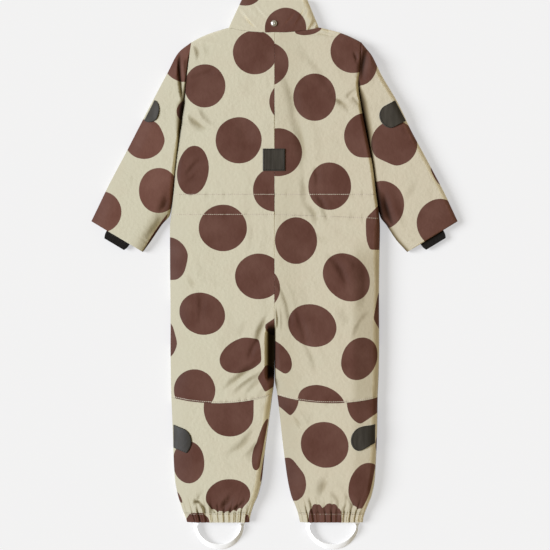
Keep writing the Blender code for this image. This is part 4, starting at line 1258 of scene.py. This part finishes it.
def front_dots(side):
    """The hidden fronts' print, staggered as on the back."""
    dots = []
    for row in range(-5, 6):
        for place in range(2):
            x = SIGN[side] * (26.0 + FRONT_PITCH_X * (place + 0.5 * (row % 2)))
            swing = 7.0 * math.sin(2.1 * row + 3.7 * place + SIGN[side])
            size = FRONT_DOT + 2.5 * math.sin(1.3 * row + place)
            dots.append((x + swing, FRONT_PITCH_Y * row + swing, size, FRONT_DOT))
    return dots


def rows_between(low, high, count, dense):
    """Row levels from low to high, as a column, closer together near both ends."""
    return blend(low, high, spaced(count, dense))[:, None]


# Painted shade in the valleys of the gathers.
def valley_shade(drawn):
    return VALLEY_SHADE * np.clip(-drawn, 0.0, 1.0)


def make_back(side, kit):
    levels = rows_between(KNEE_SEAM + SEAM_GAP / 2, SHOULDER, 290, 0.35)
    shares = spaced(92, 0.6)[None, :]
    x, y, top, height = body_top(side, levels, shares)
    outer = grid(x, y, top)
    # Painted shade: in the crotch trench and the kite below it, on the right half and in folds.
    deep = window(levels, TRENCH_LOW - 4, TRENCH_HIGH + 8, 16.0)
    if side == "left":
        painted_shade = deep * smoothstep((x - TRENCH_EDGE) / 4.0)
        kite = window(levels, KNEE_SEAM, TRENCH_LOW + 8, 14.0)
        painted_shade = np.maximum(painted_shade, 0.6 * kite * smoothstep((x - TRENCH_EDGE - 4.0) / 12.0))
    else:
        painted_shade = np.maximum(deep * smoothstep((3.0 - x) / 2.0), right_shade(x, levels))
    looks = {"painted_shade": np.maximum(painted_shade, fold_shade(x, y)), "form": grid(x, y, height.top)}
    materials = [printed_cloth("print_back_" + side, DOTS["back_" + side]), kit["lining"]]
    inner = grid(x, y, height.under_back)
    piece = add_cloth("back_" + side, "cloth", outer, inner, materials, **looks)
    across = np.linspace(0.004, 0.985, 140)
    lines = [body_line(side, level, across) for level in waist_lines(side, across)]
    lines.append(body_line(side, KNEE_SEAM + 2.4, np.linspace(0.03, 0.975, 140)))
    extra = [add_stitches(f"stitches_back_{side}", lines, kit["thread"])]
    if side == "right":
        extra += make_back_patch(kit)


def make_lower_leg(side, kit):
    levels = rows_between(CASING_TOP + SEAM_GAP / 2, KNEE_SEAM - SEAM_GAP / 2, 112, 0.5)
    shares = spaced(132, 0.45)[None, :]
    x, y, top, height = body_top(side, levels, shares)
    outer = grid(x, y, top)
    drawn = pleats(levels, shares, SEED[side])
    # Painted shade in the valleys of the gathers, in deep folds and on the right leg's side.
    painted_shade = np.maximum(valley_shade(drawn), fold_shade(x, y))
    if side == "right":
        painted_shade = np.maximum(painted_shade, right_shade(x, levels))
    looks = {"cut": grid(x, y - 2.6 * drawn), "painted_shade": painted_shade, "form": grid(x, y, height.top)}
    materials = [printed_cloth("print_lower_leg_" + side, DOTS["lower_leg_" + side]), kit["lining"]]
    inner = grid(x, y, height.under_back)
    piece = add_cloth("lower_leg_" + side, "cloth", outer, inner, materials, **looks)
    patch = make_tab("leg", LEG_TABS[side], side, True, panel_point, kit)


def make_front(side, kit):
    levels = rows_between(CASING_TOP + SEAM_GAP / 2, SHOULDER, 180, 0.35)
    shares = spaced(64, 0.6)[None, :]
    x, y, height = body_layers(side, levels, shares)
    opening = ZIP_HALF_WIDTH + SEAM_GAP
    closing = np.maximum(SEAM_GAP / 2, opening * (1 - (ZIP_FOOT - levels) / ZIP_CLOSE))
    opening = np.where(levels < ZIP_FOOT - 1.0, closing, opening)
    x = SIGN[side] * np.maximum(np.abs(x), opening) + FRONT_SHIFT
    folds = under_folds(x, y, 0.25, 30.0, 71) + np.maximum(0.0, 0.8 * pleats(levels, shares, 13))
    outer = grid(x, y, np.minimum(height.bottom + folds, height.over_front - THINNEST))
    inner = grid(x, y, height.over_front)
    materials = [printed_cloth("print_front_" + side, front_dots(side)), kit["lining"]]
    add_cloth("front_" + side, "cloth", outer, inner, materials)


def make_casing(side, kit):
    """The gathered tube round each ankle."""
    levels = rows_between(LEG_HEM, CASING_TOP - SEAM_GAP / 2, 12, 0.4)[::-1]
    over = spaced(150, 0.3)[None, :]
    under = spaced(90, 0.3)[None, ::-1][:, 1:-1]
    width = np.abs(column(BODY, "side_" + side, levels) - column(BODY, "inner_" + side, levels))
    inset = FOLD_INSET / width
    hem = 1.1 * np.exp(-((levels - LEG_HEM) / 2.2)) + 0.7 * bell(levels - CASING_TOP, 2.6)
    halves = []
    for shares in (over, under):
        x, y, height = body_layers(side, levels, shares)
        slot_x, _, slot = body_layers(side, levels, inset + (1 - 2 * inset) * shares)
        wave = pleats(np.minimum(levels, CASING_TOP), shares, SEED[side])
        if shares is over:
            skin_z = np.maximum(height.top + wave - hem, slot.under_back + THINNEST)
            lining_z = slot.under_back
        else:
            skin_z = np.minimum(height.bottom + np.maximum(0.0, wave), slot.over_front - THINNEST)
            lining_z = slot.over_front
        halves.append((grid(x, y, skin_z), grid(slot_x, y, lining_z), np.broadcast_to(wave, x.shape)))
    outer, inner, drawn = (np.concatenate(parts, axis=1) for parts in zip(*halves))
    looks = {
        "cut": grid(outer[..., 0], outer[..., 1] - 1.5 * drawn),
        # Painted shade in the valleys of the gathers.
        "painted_shade": valley_shade(drawn),
        "skin": (np.arange(outer.shape[1]) >= over.shape[1]).astype(int),
        "ring": True,
    }
    print_cloth = printed_cloth("print_casing_" + side, DOTS["leg_casing_" + side])
    materials = [print_cloth, kit["front_" + side], kit["lining"]]
    piece = add_cloth("leg_casing_" + side, "cloth", outer, inner, materials, **looks)
    row = np.argmin(np.abs(levels[:, 0] - (CASING_TOP - 3.0)))
    line = outer[row, 3 : over.shape[1] - 3] - np.array([0.0, 0.0, 0.2])
    sewing = add_stitches(f"stitches_casing_{side}", [line], kit["hem_thread"])


def sleeve_shade(side, x, y, reaches, shares):
    """The painted shade on a sleeve's upper side: under the body's edge, along the seam and in folds."""
    edge = np.abs(x) - np.abs(column(BODY, "side_" + side, y))
    shades = ARMHOLE_SHADES[side]
    beside = column(shades, "depth", y) * smoothstep(1.15 - edge / column(shades, "width", y))
    from_seam = shares * SLEEVE_WIDTH
    hem_edge = 0.8 * smoothstep((reaches - 0.72) / 0.08) * bell(from_seam, 4.0)
    painted_shade = np.maximum(np.maximum(beside, hem_edge), fold_shade(x, y))
    if side == "left":
        broad = smoothstep((reaches - 0.5) / 0.25) * bell(from_seam, SEAM_SHADE_WIDTH)
        painted_shade = np.maximum(painted_shade, SEAM_SHADE * broad)
    return painted_shade


def make_sleeve(side, kit):
    """One piece: over the top, round the outer fold and back below."""
    reaches = spaced(150, 0.3)[:, None]
    over = spaced(58, 0.6)[None, :]
    under = spaced(36, 0.6)[None, ::-1]
    inset = 1 - FOLD_INSET / SLEEVE_WIDTH
    x, y, top, height = sleeve_top(side, reaches, over)
    slot_x, slot_y, slot = sleeve_layers(side, reaches, over * inset)
    lining_z = np.minimum(slot.under_back, top - 1.0)
    # Painted shade beside the body, along the seam and in folds, on the upper side only.
    painted_shade = sleeve_shade(side, x, y, reaches, over)
    upper = (grid(x, y, top), grid(slot_x, slot_y, lining_z), grid(x, y), grid(x, y, height.top), painted_shade)
    x, y, height = sleeve_layers(side, reaches, under)
    slot_x, slot_y, slot = sleeve_layers(side, reaches, under * inset)
    folds = under_folds(x, y, 0.2, 26.0, 72)
    skin = grid(x, y, np.minimum(height.bottom + folds, slot.over_front - THINNEST))
    _, fold, under_seam, _ = sleeve_cut(side, reaches, under)
    beyond = fold + (fold - under_seam) * (1 - under)
    lower = (skin, grid(slot_x, slot_y, slot.over_front), grid(*beyond), skin, np.zeros(x.shape))
    outer, inner, cut, form, painted_shade = (np.concatenate(parts, axis=1) for parts in zip(upper, lower))
    print_cloth = printed_cloth("print_sleeve_" + side, DOTS["sleeve_" + side], BROWN_GAIN[side])
    looks = {"cut": cut, "painted_shade": painted_shade, "form": form}
    piece = add_cloth("sleeve_" + side, "cloth", outer, inner, [print_cloth, kit["lining"]], **looks)
    patch = make_tab("sleeve", SLEEVE_TABS[side], side, False, sleeve_over, kit)


def make_collar(kit):
    """One band: from the zip under the left side, across the back and to the zip again."""
    heights = spaced(34, 0.5)[:, None]
    over = 2 * spaced(110, 0.5)[None, :] - 1
    inset = 1 - FOLD_INSET / COLLAR_HALF_WIDTH
    x, y, top, _ = collar_top(over, heights)
    slot_x, slot_y, slot = collar_layers(over * inset, heights)
    upper = (grid(x, y, top), grid(slot_x, slot_y, slot.under_back), grid(x, y))
    halves = {}
    for side in SIDES:
        turns = SIGN[side] * (1 - spaced(48, 0.4)[None, :])
        x, y, level = collar_layers(turns, heights)
        slot_x, slot_y, slot = collar_layers(turns * inset, heights)
        x = SIGN[side] * np.maximum(np.abs(x), COLLAR_END)
        slot_x = SIGN[side] * np.maximum(np.abs(slot_x), COLLAR_END)
        folds = 0.2 + 0.2 * soft_noise(x, y, 14.0, 73)
        skin = grid(x, y, np.minimum(level.bottom + folds, level.over_front - 1.0))
        edge_x, _ = collar_plan(np.full((1, 1), SIGN[side]), heights)
        halves[side] = (skin, grid(slot_x, slot_y, slot.over_front), grid(2 * edge_x - x, y))
    left = [part[:, ::-1] for part in halves["left"]]
    outer, inner, cut = (np.concatenate(parts, axis=1) for parts in zip(left, upper, halves["right"]))
    materials = [printed_cloth("print_collar", DOTS["collar"]), kit["lining"]]
    add_cloth("collar", "cloth", outer, inner, materials, cut=cut)


# ---- small pieces ----


def add_patch(node, places):
    """A film patch on its panel, with its border pressed down."""
    upper = places + np.array([0.0, 0.0, PATCH_LIFT + PATCH_CLOTH])
    upper[[0, -1], :, 2] -= PATCH_PRESS
    upper[:, [0, -1], 2] -= PATCH_PRESS
    lower = places + np.array([0.0, 0.0, PATCH_LIFT / 2])
    film = reflector_film(node.removeprefix("reflector_"))
    return add_cloth(node, "film", upper, lower, [film, film], "reflector"), upper


def border_line(upper, rows_in, columns_in, closed_sides):
    """A line round a patch, a few rows and columns inside its edge."""
    inside = upper[rows_in : len(upper) - rows_in, columns_in : upper.shape[1] - columns_in]
    sides = [inside[0, :0:-1], inside[:-1, 0], inside[-1]]
    if closed_sides:
        sides.append(inside[::-1, -1])
    return np.concatenate(sides) + np.array([0.0, 0.0, STITCH_LIFT])


def panel_point(side, x, y):
    """The upper side's points at plan places of the body, where its rows are straight."""
    start = column(BODY, "inner_" + side, y)
    end = column(BODY, "side_" + side, y)
    _, _, top, _ = body_top(side, y, np.clip((x - start) / (end - start), 0.0, 1.0))
    return grid(x, y, top)


def sew_on(node, places, border, kit):
    """A patch at its places on the panel and the stitches round it."""
    piece, upper = add_patch(node, places)
    return [piece, add_stitches("stitches_" + node, [border_line(upper, *border)], kit["film_thread"])]


def make_back_patch(kit):
    """The square patch, which smooths out the dip of the seam below it."""
    centre_x, centre_y = BACK_PATCH_CENTRE
    half = BACK_PATCH_SIDE / 2
    x = (centre_x + np.linspace(-half, half, 41))[None, :]
    y = (centre_y + np.linspace(-half, half, 41))[:, None]
    x, y = np.broadcast_arrays(x, y)
    places = np.where((x < 0)[..., None], panel_point("left", x, y), panel_point("right", x, y))
    level = places[..., 2].copy()
    for _ in range(6):
        beside = level[1:-1, :-2] + level[1:-1, 2:]
        level[1:-1, 1:-1] = (level[:-2, 1:-1] + level[2:, 1:-1] + beside) / 4
    places[..., 2] = np.maximum(level, places[..., 2])
    return sew_on("reflector_back", places, (2, 2, True), kit)


def sleeve_over(side, x, y):
    """The upper side's points at plan places of a sleeve, found by halving the reach."""
    low = np.zeros(x.shape)
    high = np.ones(x.shape)
    for _ in range(26):
        reach = (low + high) / 2
        _, fold, under, _ = sleeve_cut(side, reach, 0.0)
        run = fold - under
        beyond = (run[0] * (y - under[1]) - run[1] * (x - under[0])) * SIGN[side] < 0
        low = np.where(beyond, reach, low)
        high = np.where(beyond, high, reach)
    share = (run[0] * (x - under[0]) + run[1] * (y - under[1])) / (run**2).sum(axis=0)
    _, _, top, _ = sleeve_top(side, reach, np.clip(share, 0.0, 1.0))
    return grid(x, y, top)


def tab_grid(tab, side, upright_edge, place):
    """Points of a tab, from its straight side on the garment's edge to its round end."""
    angle = math.radians(tab.points)
    way = (math.cos(angle), math.sin(angle))
    across = (SIGN[side] * way[1], -SIGN[side] * way[0])
    slant = across[0] / way[0] if upright_edge else 0.0
    turn = np.sin(np.linspace(-np.pi / 2, np.pi / 2, 45))[:, None]
    share = np.linspace(0.0, 1.0, 35)[None, :]
    start = PATCH_EDGE - turn * tab.half_edge * slant
    high = turn > tab.peak
    past = np.where(high, (turn - tab.peak) / (1 - tab.peak), (tab.peak - turn) / (1 + tab.peak))
    corner = np.where(high, tab.round_high, tab.round_low)
    end = np.maximum(tab.reach - corner * (1 - np.sqrt(np.maximum(0.0, 1 - past**2))), start + 1.0)
    aside = turn * blend(tab.half_edge, tab.half_end, smoothstep(share))
    along = blend(start, end, share)
    x = tab.x + across[0] * aside + way[0] * along
    y = tab.y + across[1] * aside + way[1] * along
    return place(side, x, y)


def make_tab(part, tab, side, upright_edge, place, kit):
    """A reflecting tab on a leg or a sleeve, sewn on along its three free sides."""
    places = tab_grid(tab, side, upright_edge, place)
    return sew_on(f"reflector_{part}_{side}", places[:, ::-1], (3, 2, False), kit)


def make_stud(kit):
    """A turned cap with a rolled rim, a dome and a pricked middle."""
    _, _, level = collar_layers(np.zeros((1, 1)), np.full((1, 1), STUD_LEVEL))
    foot = level.top[0, 0] + PATCH_LIFT - STUD_SUNK
    radii = [share for share, _ in STUD_RIM]
    heights = [height for _, height in STUD_RIM]
    for turn in np.linspace(0.1, 1.35, 9):
        radii.append(0.80 * math.cos(turn))
        heights.append(STUD_RIM[-1][1] + 0.05 + STUD_DOME * math.sin(turn))
    radii = np.array(radii + [share for share, _ in STUD_PRICK])[:, None] * STUD_RADIUS
    heights = np.array(heights + [height for _, height in STUD_PRICK])[:, None]
    angles = np.linspace(0.0, 2 * np.pi, STUD_SIDES, endpoint=False)
    x = STUD_CENTRE[0] + radii * np.cos(angles)
    points = grid(x, STUD_CENTRE[1] + radii * np.sin(angles), foot + heights)
    faces = ring_faces(0, len(radii), STUD_SIDES)
    stud = finish_mesh("press_stud_cap", points.reshape(-1, 3), faces, None, [kit["metal"]], sharp=40)
    dress(stud, "press_stud")


def bulged(turn, power):
    """A sine whose ends are full, for the round of a flattened tube."""
    return np.sign(turn) * np.abs(turn) ** power


def make_cuff(side, kit):
    """A flattened rib knit tube that looks out of the sleeve's hem."""
    hem = SLEEVES[side][-1]
    fold = np.array([hem.fold_x, hem.fold_y])
    run = np.array([hem.under_x, hem.under_y]) - fold
    run /= np.linalg.norm(run)
    out_way = np.array([-run[1], run[0]]) * SIGN[side]
    outs = np.concatenate([np.linspace(-CUFF_INSIDE, 0.0, 8)[:-1], CUFF_OUTSIDE * spaced(16, 0.4)])
    outs = outs[:, None]
    _, _, slot = sleeve_layers(side, np.minimum(1.0, 1 + outs / SLEEVE_LENGTH), 0.5)
    middle = (slot.under_back + slot.over_front) / 2
    half = CUFF_WIDTH / 2 - CUFF_TAPER * np.maximum(0.0, outs / CUFF_OUTSIDE) ** 2.5
    start = fold + run * (CUFF_START[side] + CUFF_WIDTH / 2)
    around = np.linspace(0.0, 2 * np.pi, 220, endpoint=False)[None, :]
    skins = []
    for inset, relief in ((0.0, CUFF_RELIEF), (CUFF_WALL, 0.0)):
        along = bulged(np.cos(around), 0.55) * (half - inset)
        rib = 1 + relief * np.abs(np.sin(CUFF_RIBS / 2 * around)) / (CUFF_HEIGHT / 2)
        height = bulged(np.sin(around), 0.4) * (CUFF_HEIGHT / 2 - inset) * rib
        x = start[0] + out_way[0] * outs + run[0] * along
        y = start[1] + out_way[1] * outs + run[1] * along
        skins.append(grid(x, y, middle + height))
    materials = [kit["knit"], kit["knit"]]
    piece = add_cloth("cuff_" + side, "knit", *skins, materials, "knit_cuff", ring=True)


def make_strap(side, kit):
    """An elastic loop under the foot, which leaves the casing and turns on edge."""
    root_z = column(BODY, "crown", LEG_HEM) / 2 - 0.2
    half_foot = STRAP_WIDTH * math.cos(STRAP_TILT_FOOT) + STRAP_CLOTH * math.sin(STRAP_TILT_FOOT)
    drop = LEG_HEM - (STRAP_LOWEST + half_foot / 2)
    half_span = STRAP_HALF_SPAN[side]
    path = [(-half_span + inward, up, 0.0) for up, inward in STRAP_ROOT]
    for angle in np.linspace(0.0, np.pi, 66)[3:-3]:
        fall = math.sin(angle) ** 1.2
        reach = half_span - STRAP_LEAN * (1 - fall) ** 2
        path.append((-reach * math.cos(angle), -drop * fall, 1.0))
    path += [(-x, y, free) for x, y, free in reversed(path[: len(STRAP_ROOT)])]
    skins = ([], [])
    widths = np.linspace(-0.5, 0.5, 13)[:, None]
    thickness = STRAP_CLOTH / 2 * (1 - 0.55 * np.abs(2 * widths) ** 6)
    for index, (x, y, free) in enumerate(path):
        before = path[max(index - 1, 0)]
        after = path[min(index + 1, len(path) - 1)]
        length = math.hypot(after[0] - before[0], after[1] - before[1])
        side_x = (after[1] - before[1]) / length
        side_y = -(after[0] - before[0]) / length
        fall = min(1.0, -y / drop) if free else 0.0
        turn = min(1.0, fall * STRAP_TWIST)
        tilt = blend(STRAP_TILT_ARM, STRAP_TILT_FOOT, fall**1.6) * turn
        rest_z = STRAP_WIDTH / 2 * math.sin(tilt) + STRAP_CLOTH / 2 * math.cos(tilt)
        z = blend(root_z, rest_z, turn)
        band = np.array([side_x * math.cos(tilt), side_y * math.cos(tilt), -math.sin(tilt)])
        face = np.array([side_x * math.sin(tilt), side_y * math.sin(tilt), math.cos(tilt)])
        centre = np.array([STRAP_CENTRE[side] + x, LEG_HEM + y, z])
        skins[0].append(centre + band * widths * STRAP_WIDTH + face * thickness)
        skins[1].append(centre + band * widths * STRAP_WIDTH - face * thickness)
    outer, inner = np.array(skins)
    materials = [kit["elastic"], kit["elastic"]]
    piece = add_cloth("foot_strap_" + side, "elastic", outer, inner, materials, "strap_elastic")


def add_boxes(name, boxes, material):
    """One mesh of boxes between pairs of corners."""
    points = []
    faces = []
    for low, high in boxes:
        faces += [tuple(len(points) + corner for corner in face) for face in BOX_FACES]
        points += [(x, y, z) for z, y, x in itertools.product(*zip(low[::-1], high[::-1]))]
    return finish_mesh(name, np.array(points), faces, None, [material])


def make_zip(kit):
    """The closed front zip on the underside: two tapes, their teeth and the slider."""
    slider_top = COLLAR_TOP - SLIDER_DROP
    strip_top = slider_top - SLIDER_LENGTH - SEAM_GAP
    tapes = []
    for side in SIDES:
        low_x, high_x = sorted((SIGN[side] * 0.5, SIGN[side] * ZIP_HALF_WIDTH))
        tapes.append(((low_x, ZIP_FOOT, TAPE_LOW), (high_x, strip_top, TAPE_HIGH)))
    dress(add_boxes("zip_tape_pair", tapes, kit["tape"]), "zip_strip")
    boxes = []
    for k in range(int((strip_top - ZIP_FOOT - 2.0) / TOOTH_PITCH)):
        y = ZIP_FOOT + 1.2 + TOOTH_PITCH * k
        low_x, high_x = TOOTH_SPANS[k % 2]
        boxes.append(((low_x, y, ZIP_FLOOR_GAP), (high_x, y + TOOTH_LENGTH, TOOTH_HIGH)))
    add_boxes("zip_teeth_row", boxes, kit["teeth"])
    across = np.linspace(-1.0, 1.0, 9)[None, :]
    shares, widths = (np.array(values)[:, None] for values in zip(*SLIDER_OUTLINE))
    x = SLIDER_HALF_WIDTH * widths * across
    y = slider_top - SLIDER_LENGTH * (1 - shares)
    round_edge = 0.8 * across**4
    low = grid(x, y, ZIP_FLOOR_GAP + round_edge)
    high = grid(x, y, ZIP_FLOOR_GAP + SLIDER_HEIGHT - round_edge)
    dress(add_wall("zip_slider_body", high, low, [kit["metal"], kit["metal"]]), "zip_slider")


# ---- stage, in metres ----


FLOOR_HALF = 24.0
FLOOR_LEVEL = -0.0003
CAMERA_HEIGHT = 3.2
CAMERA_PLACE = (0.0009, -0.0018)
FRAME_WIDTH = 0.990
FRAME_LEVEL = 0.015


def make_stage():
    """The floor, the even light of the room and the soft low lamp."""
    corners = ((-1, -1), (1, -1), (1, 1), (-1, 1))
    points = [(x * FLOOR_HALF, y * FLOOR_HALF, FLOOR_LEVEL) for x, y in corners]
    mesh = bpy.data.meshes.new("floor")
    mesh.from_pydata(points, [], [(0, 1, 2, 3)])
    mesh.materials.append(floor_material())
    floor = bpy.data.objects.new("floor", mesh)
    bpy.context.scene.collection.objects.link(floor)
    world = bpy.data.worlds.new("pale_studio")
    world.use_nodes = True
    background = world.node_tree.nodes["Background"]
    background.inputs["Color"].default_value = rgba(FILL)
    background.inputs["Strength"].default_value = FILL_STRENGTH
    bpy.context.scene.world = world
    lamp = bpy.data.lights.new("key", "SUN")
    lamp.energy = KEY_STRENGTH
    lamp.angle = math.radians(KEY_SPREAD)
    lamp.color = KEY
    key = bpy.data.objects.new("key", lamp)
    key.rotation_euler = (0.0, math.radians(KEY_SLOPE - 90.0), math.radians(KEY_TURN))
    bpy.context.scene.collection.objects.link(key)


def make_camera():
    lens = bpy.data.cameras.new("camera")
    lens.sensor_width = 36.0
    lens.lens = lens.sensor_width * (CAMERA_HEIGHT - FRAME_LEVEL) / FRAME_WIDTH
    camera = bpy.data.objects.new("camera", lens)
    camera.location = (*CAMERA_PLACE, CAMERA_HEIGHT)
    bpy.context.scene.collection.objects.link(camera)
    bpy.context.scene.camera = camera


def main():
    bpy.context.scene.view_settings.view_transform = "Standard"
    kit = {
        "lining": plain_cloth("dark_lining", LINING, 0.7, 300.0, 0.0001),
        "film_thread": plain_cloth("film_thread", FILM_THREAD, 0.6, 500.0, 0.0001),
        "thread": thread_material("sewing_thread", THREAD),
        "hem_thread": thread_material("hem_thread", HEM_THREAD),
        "knit": knit_material(),
        "elastic": elastic_material(),
        "metal": metal_material(),
        "tape": plain_cloth("zip_tape", TAPE, 0.75, 400.0, 0.0002),
        "teeth": plain_cloth("zip_teeth", TAPE, 0.4, 60.0, 0.00005),
    }
    make_stage()
    make_camera()
    for side in SIDES:
        kit["front_" + side] = printed_cloth("print_casing_under_" + side, front_dots(side))
        make_front(side, kit)
        make_lower_leg(side, kit)
        make_casing(side, kit)
        make_back(side, kit)
        make_sleeve(side, kit)
        make_cuff(side, kit)
        make_strap(side, kit)
    make_collar(kit)
    make_stud(kit)
    make_zip(kit)


main()
